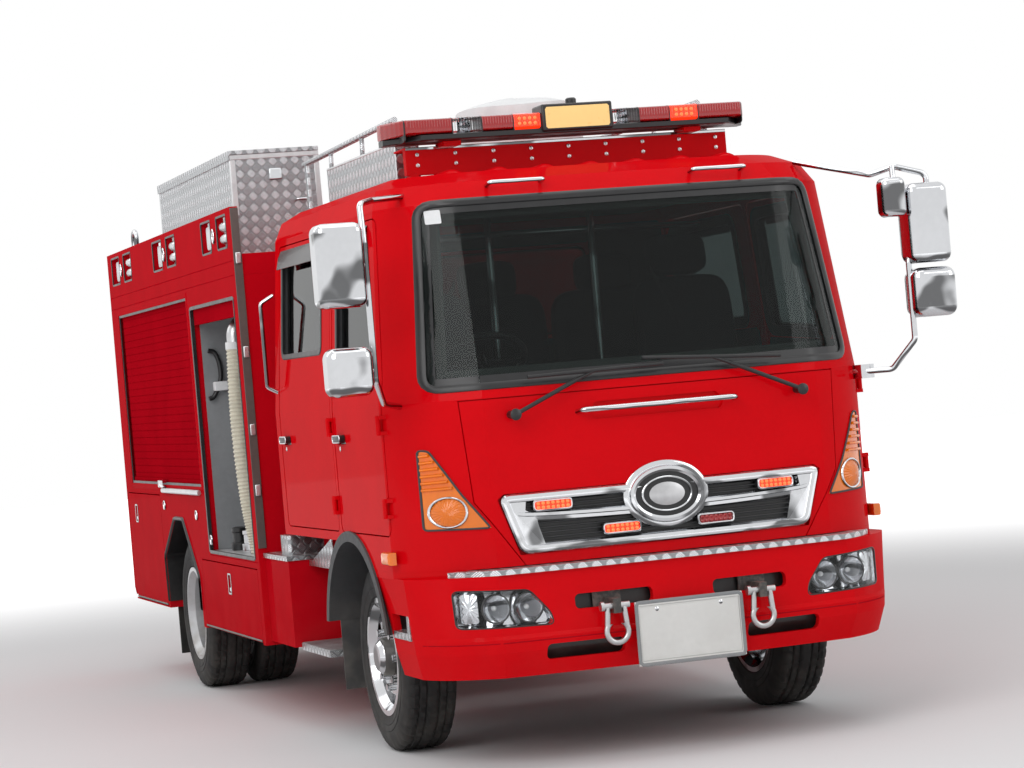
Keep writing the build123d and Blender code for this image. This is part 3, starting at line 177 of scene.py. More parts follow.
def slab(x0: float, x1: float, s0: float, s1: float, z0: float, z1: float) -> Patch:
    """Plain block between two corners; a bevel finishes it on its object."""
    corners = at(np.array([x0, x1, x1, x0]), np.array([s0, s0, s1, s1]), z0)
    return grid(np.stack([corners, corners + np.array([0, 0, (z1 - z0) / 1000.0])]), round_v=True, cap=True)


def curve(points: Sequence, steps: int = 40) -> Array:
    """Smooth path through points, by Catmull-Rom cubics.

    Args:
        points: (x, station, z) each.
        steps: points of the path, shared out over its cubics.

    Returns:
        Array (n, 3) in the frame's metres.
    """
    p = at(*np.array(points, float).T)
    p = np.vstack([2 * p[0] - p[1], p, 2 * p[-1] - p[-2]])
    t = np.linspace(0, 1, max(steps // (len(p) - 3), 2), endpoint=False)[:, None, None]
    a, b, c, d = p[None, :-3], p[None, 1:-2], p[None, 2:-1], p[None, 3:]
    bent = 0.5 * (2 * b + (c - a) * t + (2 * a - 5 * b + 4 * c - d) * t**2 + (3 * b - a - 3 * c + d) * t**3)
    return np.vstack([bent.transpose(1, 0, 2).reshape(-1, 3), p[-2:-1]])


def pillow(centre: tuple, size: tuple, sharp: float = 0.35, rings: int = 28) -> Patch:
    """Cushion: a superellipsoid, each half size times a signed power of the sphere's sine or cosine.

    Args:
        centre: (x, station, z).
        size: full sizes along x, station and z.
        sharp: power; 1 is a ball and near 0 is a box.
        rings: rows of the grid.

    Returns:
        The closed cushion.
    """
    v = np.linspace(-np.pi / 2, np.pi / 2, rings)[:, None]
    u = angles(2 * rings)[None, :]
    cv, sv, cu, su = (np.sign(w) * np.abs(w) ** sharp for w in (np.cos(v), np.sin(v), np.cos(u), np.sin(u)))
    x, s, z = (c + d / 2 * w for c, d, w in zip(centre, size, (cv * cu, cv * su, sv)))
    return grid(at(x, s, z), round_v=True)


def make_object(name: str, patch: Patch, bevel: float = 0.0) -> bpy.types.Object:
    """Object at the origin with the patch as its mesh, smooth apart from its sharp edges.

    Args:
        name: the piece's plain name.
        patch: its surface.
        bevel: width in metres of a live bevel, none if 0.

    Returns:
        The new object, linked to the scene.
    """
    mesh = bpy.data.meshes.new(name)
    mesh.from_pydata(patch.verts.tolist(), [], patch.faces)
    mesh.validate()
    shape = bmesh.new()
    shape.from_mesh(mesh)
    bmesh.ops.recalc_face_normals(shape, faces=shape.faces)
    shape.to_mesh(mesh)
    shape.free()
    mesh.polygons.foreach_set("use_smooth", np.full(len(mesh.polygons), True))
    mesh.set_sharp_from_angle(angle=0.6)
    mesh.update()
    piece = bpy.data.objects.new(name, mesh)
    bpy.context.scene.collection.objects.link(piece)
    if bevel:
        edge = piece.modifiers.new("edge", "BEVEL")
        edge.width, edge.segments, edge.limit_method = bevel, 2, "ANGLE"
    return piece


# Shader groups


class Graph:
    """Short calls for the nodes of one tree."""

    def __init__(self, tree: bpy.types.NodeTree) -> None:
        """Keeps the tree that the calls add to."""
        self.tree = tree

    def node(self, kind: str, **values: object) -> bpy.types.Node:
        """New node with its attributes set."""
        made = self.tree.nodes.new(kind)
        for key, value in values.items():
            setattr(made, key, value)
        return made

    def link(self, source: object, target: Socket) -> None:
        """Joins a socket to another, or sets the target's own value."""
        if isinstance(source, Socket):
            self.tree.links.new(source, target)
        else:
            target.default_value = source

    def math(self, operation: str, *inputs: object, clamp: bool = False) -> Socket:
        """Result of a Math node."""
        made = self.node("ShaderNodeMath", operation=operation, use_clamp=clamp)
        for socket, value in zip(made.inputs, inputs):
            self.link(value, socket)
        return made.outputs[0]

    def mix(self, factor: object, a: object, b: object, kind: str = "RGBA") -> Socket:
        """Result of a Mix node for colours or floats."""
        made = self.node("ShaderNodeMix", data_type=kind)
        start, result = {"RGBA": (6, 2), "FLOAT": (2, 0)}[kind]
        for place, value in ((0, factor), (start, a), (start + 1, b)):
            self.link(value, made.inputs[place])
        return made.outputs[result]

    def span(self, value: object, low: float, high: float, to_low: float, to_high: float) -> Socket:
        """Smooth step from one range to another."""
        made = self.node("ShaderNodeMapRange", interpolation_type="SMOOTHSTEP")
        for socket, item in zip(made.inputs, (value, low, high, to_low, to_high)):
            self.link(item, socket)
        return made.outputs[0]

    def noise(self, vector: Socket, scale: object, detail: float = 3.0) -> Socket:
        """Grey value of a Noise Texture."""
        made = self.node("ShaderNodeTexNoise")
        for key, value in (("Vector", vector), ("Scale", scale), ("Detail", detail)):
            self.link(value, made.inputs[key])
        return made.outputs["Fac"]

    def place(self) -> Socket:
        """Object coordinates."""
        return self.node("ShaderNodeTexCoord").outputs["Object"]

    def geometry(self, name: str) -> Socket:
        """A value of the surface, such as its normal."""
        return self.node("ShaderNodeNewGeometry").outputs[name]

    def split(self, vector: Socket) -> list:
        """X, Y and Z of a vector."""
        made = self.node("ShaderNodeSeparateXYZ")
        self.link(vector, made.inputs[0])
        return list(made.outputs)


def new_group(name: str, inputs: dict, outputs: tuple) -> tuple:
    """Empty shader group with a Vector input.

    Args:
        name: the group's name.
        inputs: its numbers, with their usual values.
        outputs: names of its masks and heights.

    Returns:
        The tree, its graph, and the sockets of its input and its output node.
    """
    tree = bpy.data.node_groups.new(name, "ShaderNodeTree")
    tree.interface.new_socket("Vector", in_out="INPUT", socket_type="NodeSocketVector")
    for key, value in inputs.items():
        tree.interface.new_socket(key, in_out="INPUT", socket_type="NodeSocketFloat").default_value = value
    for key in outputs:
        tree.interface.new_socket(key, in_out="OUTPUT", socket_type="NodeSocketFloat")
    graph = Graph(tree)
    return tree, graph, graph.node("NodeGroupInput").outputs, graph.node("NodeGroupOutput").inputs


def grain_group() -> bpy.types.NodeTree:
    """Fine unevenness: a slow and a fast noise give a mask for colour and roughness, and a height."""
    tree, g, src, out = new_group("fine_grain", {"Scale": 40.0}, ("Mask", "Height"))
    slow = g.noise(src["Vector"], g.math("MULTIPLY", src["Scale"], 0.08), 4.0)
    fast = g.noise(src["Vector"], src["Scale"], 2.0)
    g.link(g.math("ADD", g.math("MULTIPLY", slow, 0.7), g.math("MULTIPLY", fast, 0.3)), out["Mask"])
    g.link(fast, out["Height"])
    return tree


def dust_group() -> bpy.types.NodeTree:
    """Road dust: strongest low down, broken up by noise, and thicker on faces that look up."""
    tree, g, src, out = new_group("road_dust", {"Top": 0.9, "Amount": 0.4}, ("Mask",))
    low = g.span(g.math("DIVIDE", g.split(src["Vector"])[2], src["Top"]), 0.15, 1.0, 1.0, 0.0)
    patches = g.span(g.noise(src["Vector"], 9.0, 6.0), 0.35, 0.7, 0.25, 1.0)
    up = g.span(g.split(g.geometry("Normal"))[2], 0.3, 0.95, 0.0, 0.35)
    total = g.math("ADD", g.math("MULTIPLY", low, patches), g.math("MULTIPLY", up, patches))
    g.link(g.math("MULTIPLY", total, src["Amount"], clamp=True), out["Mask"])
    return tree


def wear_group() -> bpy.types.NodeTree:
    """Edge wear: the geometry's pointiness above a threshold, thinned out by noise."""
    tree, g, src, out = new_group("edge_wear", {"Threshold": 0.56}, ("Mask",))
    edge = g.span(g.math("SUBTRACT", g.geometry("Pointiness"), src["Threshold"]), 0.0, 0.08, 0.0, 1.0)
    broken = g.span(g.noise(src["Vector"], 60.0, 5.0), 0.42, 0.62, 0.0, 1.0)
    g.link(g.math("MULTIPLY", edge, broken, clamp=True), out["Mask"])
    return tree


def painted_reflection_group() -> bpy.types.NodeTree:
    """Painted reflection: dark bands on polished metal where the normal's height, shifted by slow noise, is
    about level, standing in for the horizon mirrored in chrome.
    """
    tree, g, src, out = new_group("painted_reflection_bands", {"Scale": 5.0}, ("Mask",))
    lift = g.split(g.geometry("Normal"))[2]
    shift = g.math("MULTIPLY", g.math("SUBTRACT", g.noise(src["Vector"], src["Scale"], 1.5), 0.5), 2.6)
    level = g.math("ABSOLUTE", g.math("ADD", g.math("ADD", lift, shift), 0.42))
    g.link(g.span(level, 0.16, 0.40, 0.85, 0.0), out["Mask"])
    return tree


def tread_group() -> bpy.types.NodeTree:
    """Tread plate: blocks of five short bars in a diagonal grid, every other block turned a quarter.

    The two coordinates are those across the face's main direction. A cell's block is high where
    1 minus the fourth powers of across and along over its half sizes is, times the bars' sine. The second
    output is a painted highlight: raised bars lighter, and one direction of bars four times lighter than the
    other.
    """
    tree, g, src, out = new_group("tread_bars", {"Pitch": 0.060}, ("Height", "Painted_Highlight"))
    x, y, z = g.split(src["Vector"])
    nx, _, nz = g.split(g.geometry("Normal"))
    flat, side = (g.math("GREATER_THAN", g.math("ABSOLUTE", n), 0.6) for n in (nz, nx))
    a, b = g.mix(side, x, y, "FLOAT"), g.mix(flat, z, y, "FLOAT")
    u, v = (g.math("DIVIDE", g.math(sign, a, b), src["Pitch"]) for sign in ("ADD", "SUBTRACT"))
    cells = [g.math("FLOOR", c) for c in (u, v)]
    fu, fv = (g.math("SUBTRACT", g.math("SUBTRACT", c, f), 0.5) for c, f in zip((u, v), cells))
    odd = g.math("ABSOLUTE", g.math("MODULO", g.math("ADD", *cells), 2.0))
    along, over = g.mix(odd, fu, fv, "FLOAT"), g.mix(odd, fv, fu, "FLOAT")
    edges = [g.math("POWER", g.math("DIVIDE", g.math("ABSOLUTE", c), half), 4.0)
             for c, half in ((along, 0.47), (over, 0.40))]
    bars = g.span(g.math("COSINE", g.math("MULTIPLY", over, 39.3)), -0.5, 0.5, 0.25, 1.0)
    inside = g.math("SUBTRACT", 1.0, g.math("ADD", *edges))
    block = g.math("MULTIPLY", g.span(inside, 0.0, 0.4, 0.0, 1.0), bars)
    g.link(block, out["Height"])
    # Painted highlight: raised bars lighter, one direction of bars four times lighter than the other
    g.link(g.math("MULTIPLY", block, g.mix(odd, 0.25, 1.0, "FLOAT")), out["Painted_Highlight"])
    return tree


GROUPS = {
    "grain": grain_group(), "dust": dust_group(), "wear": wear_group(), "tread": tread_group(),
    "painted_reflection_bands": painted_reflection_group(),
}


# Finishes


class Kind(Enum):
    """What a finish is, where it changes the shader's make-up."""

    SOLID = "solid"
    GLASS = "glass"
    TREAD = "tread"
    # Polished metal, whose colour gets the painted reflection bands
    PAINTED_REFLECTION = "polished"


@dataclass(frozen=True)
class Finish:
    """One procedural finish: its slot, its shader's values and how grain, dust and wear change it."""

    name: str
    slot: str
    colour: tuple
    rough: float
    vary: float
    bump: float
    dust: float
    metal: float = 0.0
    coat: float = 0.0
    grain: float = 40.0
    kind: Kind = Kind.SOLID
    worn: tuple | None = None
    light: float = 0.0
    specular: float = 0.5

    def material(self) -> bpy.types.Material:
        """Builds the material at its first use.

        Returns:
            The material.
        """
        known = bpy.data.materials.get("finish_" + self.name)
        if known:
            return known
        made = bpy.data.materials.new("finish_" + self.name)
        made.use_nodes = True
        g = Graph(made.node_tree)
        shader = made.node_tree.nodes["Principled BSDF"].inputs
        colour, rough, height = self.surface(g, g.place())
        values = {
            "Base Color": colour, "Roughness": rough, "Metallic": self.metal, "Coat Weight": self.coat,
            "Coat Roughness": 0.04, "Specular IOR Level": self.specular,
        }
        if self.kind is Kind.GLASS:
            values |= {"Transmission Weight": 1.0, "IOR": 1.25}
        if self.light:
            values |= {"Emission Color": (*self.colour, 1.0), "Emission Strength": self.light}
        bump = g.node("ShaderNodeBump")
        bump.inputs["Strength"].default_value = self.bump
        bump.inputs["Distance"].default_value = 0.004 if self.kind is Kind.TREAD else 0.0006
        g.link(height, bump.inputs["Height"])
        for key, value in (values | {"Normal": bump.outputs[0]}).items():
            g.link(value, shader[key])
        return made

    def surface(self, g: Graph, place: Socket) -> tuple:
        """Sockets of colour, roughness and height.

        Args:
            g: the material's graph.
            place: object coordinates.

        Returns:
            The colour, the roughness and the height for the bump.
        """
        grain = self.use(g, "grain", place, Scale=self.grain)
        # The third share gives the tread's painted highlight, the fourth the dark of the painted reflection
        # bands on polished metal.
        shares = (1 - self.vary, 1 + self.vary, 3.0, 0.10)
        dark, pale, painted_highlight_colour, painted_reflection_dark = ((*(min(c * share, 1.0) for c in self.colour), 1) for share in shares)
        colour = g.mix(g.span(grain["Mask"], 0.35, 0.65, 0.0, 1.0), dark, pale)
        rough = g.span(grain["Mask"], 0.3, 0.7, self.rough * 0.85, min(self.rough * 1.15, 1.0))
        height = grain["Height"]
        if self.kind is Kind.TREAD:
            tread = self.use(g, "tread", place)
            height = tread["Height"]
            # Painted highlight: the raised bars, one direction more than the other, mixed towards three times
            # the colour
            colour = g.mix(tread["Painted_Highlight"], colour, painted_highlight_colour)
            rough = g.math("SUBTRACT", rough, g.math("MULTIPLY", height, self.rough * 0.35))
        if self.kind is Kind.PAINTED_REFLECTION:
            # Painted reflection: colour darkened in bands where the normal is about level
            colour = g.mix(self.use(g, "painted_reflection_bands", place)["Mask"], colour, painted_reflection_dark)
        if self.worn:
            colour = g.mix(self.use(g, "wear", place)["Mask"], colour, (*self.worn, 1))
        if self.dust and self.kind is not Kind.GLASS:
            mask = self.use(g, "dust", place, Amount=self.dust)["Mask"]
            colour = g.mix(mask, colour, (0.30, 0.27, 0.23, 1))
            rough = g.mix(mask, rough, 0.75, "FLOAT")
        return colour, rough, height

    def use(self, g: Graph, group: str, place: Socket, **values: float) -> bpy.types.NodeOutputs:
        """Places a shared group.

        Args:
            g: the material's graph.
            group: its key in GROUPS.
            place: object coordinates.
            values: numbers of its inputs by name.

        Returns:
            The group's outputs.
        """
        made = g.node("ShaderNodeGroup", node_tree=GROUPS[group])
        for key, value in {"Vector": place, **values}.items():
            g.link(value, made.inputs[key])
        return made.outputs


# After its colour a finish has its roughness, how much its colour varies, its bump, its dust and, where
# it is metal, how much of one.
RED = Finish("gloss_red_paint", "red_paint", (0.66, 0.002, 0.006), 0.30, 0.03, 0.02, 0.02,
             coat=0.10, grain=55, specular=0.0)
BODY_RED = Finish("body_red_paint", "red_paint", (0.54, 0.003, 0.010), 0.42, 0.04, 0.03, 0.04,
                  coat=0.03, grain=55, specular=0.0)
SHUTTER_RED = Finish("shutter_red_paint", "red_shutter", (0.42, 0.003, 0.010), 0.5, 0.06, 0.04, 0.04,
                     specular=0.0)
BLACK_STEEL = Finish("chassis_black_paint", "chassis_black", (0.020, 0.020, 0.021), 0.5, 0.15, 0.15, 0.7,
                     coat=0.2, worn=(0.10, 0.08, 0.07))
# Chrome gets painted reflection bands: its colour darkens where its normal is about level.
CHROME = Finish("polished_chrome", "chrome", (0.66, 0.67, 0.69), 0.09, 0.03, 0.01, 0.08, 1.0,
                kind=Kind.PAINTED_REFLECTION)
STEEL = Finish("bare_steel", "bare_steel", (0.52, 0.52, 0.53), 0.32, 0.10, 0.12, 0.35, 1.0,
               worn=(0.75, 0.75, 0.76))
ALLOY = Finish("brushed_alloy", "bare_steel", (0.62, 0.63, 0.64), 0.35, 0.10, 0.12, 0.25, 1.0, grain=90)
SILVER = Finish("silver_wheel_paint", "silver_wheel", (0.50, 0.51, 0.53), 0.38, 0.08, 0.08, 0.6, 0.6,
                coat=0.3)
TREAD = Finish("tread_plate", "tread_plate", (0.30, 0.31, 0.32), 0.36, 0.08, 1.0, 0.15, 1.0, kind=Kind.TREAD)
DARK = Finish("dark_moulded_plastic", "dark_plastic", (0.035, 0.036, 0.039), 0.6, 0.15, 0.3, 0.35, grain=400)
GREY = Finish("grey_inner_paint", "dark_plastic", (0.25, 0.26, 0.27), 0.5, 0.08, 0.1, 0.2)
RAIL = Finish("brown_rail", "dark_plastic", (0.10, 0.075, 0.068), 0.55, 0.12, 0.15, 0.25)
LINING = Finish("grey_lining", "dark_plastic", (0.13, 0.13, 0.125), 0.7, 0.06, 0.2, 0.0, grain=300)
BLACK = Finish("black_satin_plastic", "black_plastic", (0.010, 0.010, 0.011), 0.35, 0.12, 0.10, 0.15,
               grain=300)
VISOR = Finish("smoked_visor", "black_plastic", (0.012, 0.012, 0.014), 0.22, 0.05, 0.01, 0.0,
               coat=0.1, specular=0.3)
AMBER = Finish("amber_lens", "amber_lens", (0.86, 0.19, 0.001), 0.16, 0.06, 0.05, 0.08, coat=0.25)
# Darker copy of the amber lens for the strips between the turn lamps' louvres: painted shade.
AMBER_PAINTED_SHADE = Finish("amber_painted_shade", "amber_lens", (0.24, 0.030, 0.001), 0.3, 0.06, 0.05, 0.08, specular=0.2)
CLEAR = Finish("clear_lens", "clear_lens", (0.93, 0.94, 0.95), 0.02, 0.01, 0.01, 0.0, kind=Kind.GLASS)
RED_LENS = Finish("red_lens", "red_lens", (0.34, 0.002, 0.004), 0.10, 0.08, 0.04, 0.06, coat=0.4)
LIT_RED = Finish("lit_red_lamp", "red_lens", (1.0, 0.030, 0.006), 0.2, 0.05, 0.02, 0.0, light=1.3)
LIT_DOT = Finish("lit_lamp_points", "red_lens", (1.0, 0.11, 0.03), 0.2, 0.02, 0.01, 0.0, light=1.7)
PLATE = Finish("blank_plate", "plate", (0.74, 0.74, 0.72), 0.35, 0.03, 0.05, 0.2)
SIGN = Finish("blank_lit_sign", "plate", (0.82, 0.58, 0.22), 0.3, 0.02, 0.02, 0.0, light=0.25)
SEAT = Finish("seat_cloth", "seat_fabric", (0.024, 0.026, 0.032), 0.85, 0.15, 0.2, 0.0, grain=300)
HOSE = Finish("ivory_hose", "hose_rubber", (0.66, 0.62, 0.50), 0.5, 0.08, 0.2, 0.2, grain=200)
WHITE = Finish("white_cover", "cover_white", (0.80, 0.81, 0.82), 0.7, 0.04, 0.4, 0.1, grain=150)
GLASS = Finish("window_glass", "glass", (0.24, 0.29, 0.28), 0.01, 0.01, 0.0, 0.0, kind=Kind.GLASS)
# Door glass tinted darker than the windscreen: painted shade for the dark reflections on the door windows.
SHADED_DOOR_GLASS = Finish("door_glass_painted_shade", "glass", (0.10, 0.12, 0.12), 0.01, 0.01, 0.0, 0.0, kind=Kind.GLASS)
TYRE = Finish("tyre_rubber", "tyre", (0.013, 0.013, 0.014), 0.7, 0.2, 0.4, 0.13, grain=220, specular=0.3)

NODE_FINISH = {finish.slot: finish for finish in (
    RED, SHUTTER_RED, BLACK_STEEL, CHROME, STEEL, SILVER, TREAD, DARK, BLACK, AMBER, CLEAR, RED_LENS, PLATE,
    SEAT, HOSE, WHITE, GLASS, TYRE,
)}
BODY_NODES = (
    "body_base", "body_lockers", "body_deck", "flap_left", "flap_right", "hatch_left", "hatch_right",
)


def dress_nodes() -> None:
    """Gives every CAD node the finish of its slot; the pump body's panels are duller, and the door glass is
    darker as painted shade for the dark reflections on the door windows.
    """
    slots = {s["node"]: s["material_slot"] for s in frame["record"]["subparts"]}
    for name, node in frame["nodes"].items():
        finish = BODY_RED if name in BODY_NODES else NODE_FINISH[slots[name]]
        finish = SHADED_DOOR_GLASS if "door_glass" in name else finish
        node.data.materials.clear()
        node.data.materials.append(finish.material())
        LOG.info("%s has %s", name, finish.name)


# Surfaces that the finer pieces lie on


@dataclass(frozen=True)
class Skin:
    """Outer surface of a shell whose plan sections are one arc in front and one round each corner.

    rows holds height, half width, half width of the front, station at the middle, station at the
    front's end and station where the side begins.
    """

    rows: tuple

    def station(self, x: Array, z: Array) -> Array:
        """Station of the surface at x and a height, from the front's arc or the corner's circle.

        The corner's circle goes through the front's end, the side's start and a knee between them.

        Args:
            x: distances from the middle.
            z: heights.

        Returns:
            The stations.
        """
        table = np.array(self.rows)
        half, fh, mid, end, side = (np.interp(z, table[:, 0], table[:, k]) for k in range(1, 6))
        x = np.abs(x)
        big = (fh**2 + (end - mid) ** 2) / (2 * (end - mid))
        front = mid + big - np.sqrt(big**2 - np.minimum(x, fh) ** 2)
        near, far = np.array([fh, end]), np.array([half, side])
        knee = np.array([fh + 0.66 * (half - fh), end + 0.44 * (side - end)])
        nx, kx, fx = far[0] - knee[0], near[0] - far[0], knee[0] - near[0]
        ns, ks, fs = knee[1] - far[1], far[1] - near[1], near[1] - knee[1]
        n2, k2, f2 = (near**2).sum(0), (knee**2).sum(0), (far**2).sum(0)
        area = 2 * (near[0] * ns + knee[0] * ks + far[0] * fs)
        cx = (n2 * ns + k2 * ks + f2 * fs) / area
        cs = (n2 * nx + k2 * kx + f2 * fx) / area
        r2 = (near[0] - cx) ** 2 + (near[1] - cs) ** 2
        corner = cs - np.sqrt(np.maximum(r2 - (np.minimum(x, half) - cx) ** 2, 0.0))
        return np.where(x <= fh, front, corner)

    def point(self, x: Array, z: Array, out: Array | float = 0.0) -> Array:
        """Points on the surface, moved outwards along its plan normal, from the slope of its station.

        Args:
            x: distances to the left.
            z: heights.
            out: distance off the surface.

        Returns:
            Array (..., 3) in the frame's metres.
        """
        x, z, out = (np.array(v, float) for v in np.broadcast_arrays(x, z, out))
        slope = (self.station(np.abs(x) + 1, z) - self.station(np.abs(x) - 1, z)) / 2
        size = np.hypot(slope, 1.0)
        return at(x + out * np.sign(x) * slope / size, self.station(x, z) - out / size, z)


@dataclass(frozen=True)
class Flank:
    """Left side of a body, where x depends on the height alone; its points are (station, height)."""

    heights: tuple
    halves: tuple

    def point(self, s: Array, z: Array, out: Array | float = 0.0) -> Array:
        """Points on the side, moved outwards."""
        return at(np.interp(z, self.heights, self.halves) + out, s, z)


@dataclass(frozen=True)
class Wall:
    """Plane across the vehicle at a station; its points are (x, height) and face is +1 to the rear."""

    station: float
    face: float = -1.0

    def point(self, x: Array, z: Array, out: Array | float = 0.0) -> Array:
        """Points on the plane, moved towards its face."""
        return at(x, self.station + self.face * np.asarray(out, float), z)


@dataclass(frozen=True)
class Ground:
    """Level plane at a height; its points are (x, station)."""

    height: float

    def point(self, x: Array, s: Array, out: Array | float = 0.0) -> Array:
        """Points on the plane, moved upwards."""
        return at(x, s, self.height + np.asarray(out, float))


CAB = Skin((
    (832, CAB_HALF, 740, 130, 172, 555), (1530, CAB_HALF, 740, 146, 188, 560),
    (2354, 1015, 720, 366, 396, 660), (2440, 975, 690, 440, 468, 720), (2490, 880, 600, 580, 605, 800),
))
BUMPER = Skin((
    (385, 1030, 760, 62, 110, 420), (490, 1056, 780, 8, 60, 400), (545, 1060, 782, 0, 52, 400),
    (560, 1062, 780, 12, 64, 400), (806, 1082, 770, 36, 84, 410),
))
CAB_SIDE = Flank(tuple(row[0] for row in CAB.rows), tuple(row[1] for row in CAB.rows))
BODY_SIDE = Flank((0, 3000), (BODY_HALF, BODY_HALF))
Surface = Skin | Flank | Wall | Ground


def soften(corners: Array, radius: float, steps: int = 6) -> Array:
    """Outline whose corners are replaced by quadratic curves.

    Args:
        corners: array (n, 2).
        radius: how far from its corner each curve begins and ends.
        steps: points of each curve.

    Returns:
        Array (n times steps, 2).
    """
    before, after = np.roll(corners, 1, axis=0), np.roll(corners, -1, axis=0)
    p0, p2 = (corners + (p - corners) / np.linalg.norm(p - corners, axis=1, keepdims=True) * radius
              for p in (before, after))
    t = np.linspace(0, 1, steps)[None, :, None]
    bends = (1 - t) ** 2 * p0[:, None] + 2 * t * (1 - t) * corners[:, None] + t**2 * p2[:, None]
    return bends.reshape(-1, 2)


def shape_outline(corners: Sequence, radius: float, count: int, steps: int = 6) -> Array:
    """Closed outline with soft corners, its points at equal steps.

    Args:
        corners: (u, v) points, counterclockwise.
        radius: of the corners.
        count: points of the outline.
        steps: points of a corner before the outline is divided anew.

    Returns:
        Array (count, 2).
    """
    outline = soften(np.array(corners, float), radius, steps)
    loop = np.vstack([outline, outline[:1]])
    run = np.concatenate([[0.0], np.cumsum(np.linalg.norm(np.diff(loop, axis=0), axis=1))])
    t = np.linspace(0, run[-1], count, endpoint=False)
    return np.stack([np.interp(t, run, loop[:, k]) for k in (0, 1)], axis=1)


def box_outline(u0: float, u1: float, v0: float, v1: float, radius: float, count: int = 60) -> Array:
    """Rounded rectangle as an outline."""
    return shape_outline([(u0, v0), (u1, v0), (u1, v1), (u0, v1)], radius, count)


def oval(u: float, v: float, half_u: float, half_v: float, count: int = 48) -> Array:
    """Ellipse as an outline."""
    a = angles(count)
    return np.stack([u + half_u * np.cos(a), v + half_v * np.sin(a)], axis=1)


def grown(outline: Array, by: float) -> Array:
    """Outline moved outwards along its own normals, for a counterclockwise one."""
    d = np.roll(outline, -1, 0) - np.roll(outline, 1, 0)
    return outline + by * np.stack([d[:, 1], -d[:, 0]], 1) / np.linalg.norm(d, axis=1, keepdims=True)


def bead(skin: Surface, outline: Array, section: Sequence) -> Patch:
    """Closed bead along an outline on a surface.

    Args:
        skin: the surface that it lies on.
        outline: the line that it follows.
        section: its points, (distance outwards from the line, height off the surface) each.

    Returns:
        The bead.
    """
    rows = np.stack([grown(outline, across) for across, _ in section], axis=1)
    heights = np.array([high for _, high in section], float)
    return grid(skin.point(rows[..., 0], rows[..., 1], heights), round_u=True, round_v=True)


def nested(skin: Surface, outline: Array, shares: Sequence, heights: Sequence) -> Patch:
    """Surface through copies of an outline, each shrunk about its middle by a share.

    Args:
        skin: the surface that it lies on.
        outline: the copies' full size.
        shares: one for each copy.
        heights: height off the surface of each copy, or of each of its points.

    Returns:
        The surface.
    """
    mid = outline.mean(0)
    uv = mid + np.array(shares, float)[:, None, None] * (outline - mid)
    high = np.array(heights, float).reshape(len(uv), -1)
    return grid(skin.point(uv[..., 0], uv[..., 1], np.broadcast_to(high, uv.shape[:2])), round_v=True)


def pad(skin: Surface, outline: Array, out: float, dome: float = 0.0, back: float | None = None,
        flutes: int = 0) -> Patch:
    """Cap inside an outline: off the surface by out plus dome times (1 - t squared), t being 1 at the edge.

    Args:
        skin: the surface that it lies on.
        outline: its edge.
        out: height of the edge off the surface.
        dome: how much higher the middle is.
        back: height of the back that closes it, 1 mm under the edge if None.
        flutes: ribs round the middle, 1.5 mm high.

    Returns:
        The closed cap.
    """
    t = np.linspace(0.02, 1, 8)[:, None]
    ripple = 1.5 * t * np.cos(flutes * angles(len(outline))) * bool(flutes)
    high = out + dome * (1 - t**2) + ripple
    behind = np.full_like(high, out - 1.0 if back is None else back)
    return nested(skin, outline, np.concatenate([t, t[::-1]])[:, 0], np.concatenate([high, behind]))


def strip(skin: Surface, u: tuple, v: tuple, section: Array, steps: int = 40) -> Patch:
    """Straight bar on a surface.

    Args:
        skin: the surface that it lies on.
        u: first coordinate of its two ends.
        v: second coordinate of its two ends.
        section: its points, (rise along v, height off the surface) each.
        steps: sections along the bar.

    Returns:
        The closed bar.
    """
    rise, high = np.array(section, float).T
    a = np.linspace(*u, steps)[:, None] + np.zeros(len(rise))
    b = np.linspace(*v, steps)[:, None] + rise
    return grid(skin.point(a, b, high), round_v=True, cap=True)


def lens_section(rise: float, low: float, high: float, sides: int = 10) -> Array:
    """Closed oval section between two heights off a surface."""
    return oval(0, (low + high) / 2, rise, (high - low) / 2, sides)


# Sub-assemblies


@dataclass
class Assembly:
    """Finer pieces of one part of the vehicle."""

    count: int = 0

    def add(self, name: str, patch: Patch | list, finish: Finish, body: str = "chassis",
            replaces: tuple = (), bevel: float = 0.0, both: bool = False) -> bpy.types.Object:
        """Makes a piece with its finish, on its body.

        Args:
            name: the piece's plain name.
            patch: its surface, or a list of surfaces.
            finish: its finish.
            body: the CAD body that it moves with.
            replaces: CAD nodes that it stands for.
            bevel: width of a live bevel in metres.
            both: adds the surface's mirror image to the piece.

        Returns:
            The piece.
        """
        patch = joined(patch) if isinstance(patch, list) else patch
        patch = patch + patch.flipped() if both else patch
        piece = make_object(name, patch, bevel)
        piece.data.materials.append(finish.material())
        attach(piece, body)
        if replaces:
            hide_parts(*replaces)
        self.count += 1
        LOG.info("%s: %d faces, %s, on %s", name, len(patch.faces), finish.name, body)
        return piece

    def add_all(self, rows: Sequence[tuple], both: bool = False) -> None:
        """Makes several pieces on the chassis.

        Args:
            rows: name, surface or list of surfaces, and finish of each.
            both: adds the mirror images to the pieces.
        """
        for name, patch, finish in rows:
            self.add(name, patch, finish, both=both)

    def add_sides(self, name: str, patch: Patch, finish: Finish, body: str, node: str = "",
                  bevel: float = 0.0) -> None:
        """Makes a left piece and its mirror image, each on its side's body.

        Args:
            name: the pieces' name without the side.
            patch: the left surface.
            finish: the finish of both.
            body: the bodies' name without the side.
            node: name without the side of the CAD nodes that they stand for.
            bevel: width of a live bevel in metres.
        """
        for side, shown in (("left", patch), ("right", patch.flipped())):
            nodes = (f"{node}_{side}",) if node else ()
            self.add(f"{name}_{side}", shown, finish, f"{body}_{side}", nodes, bevel)


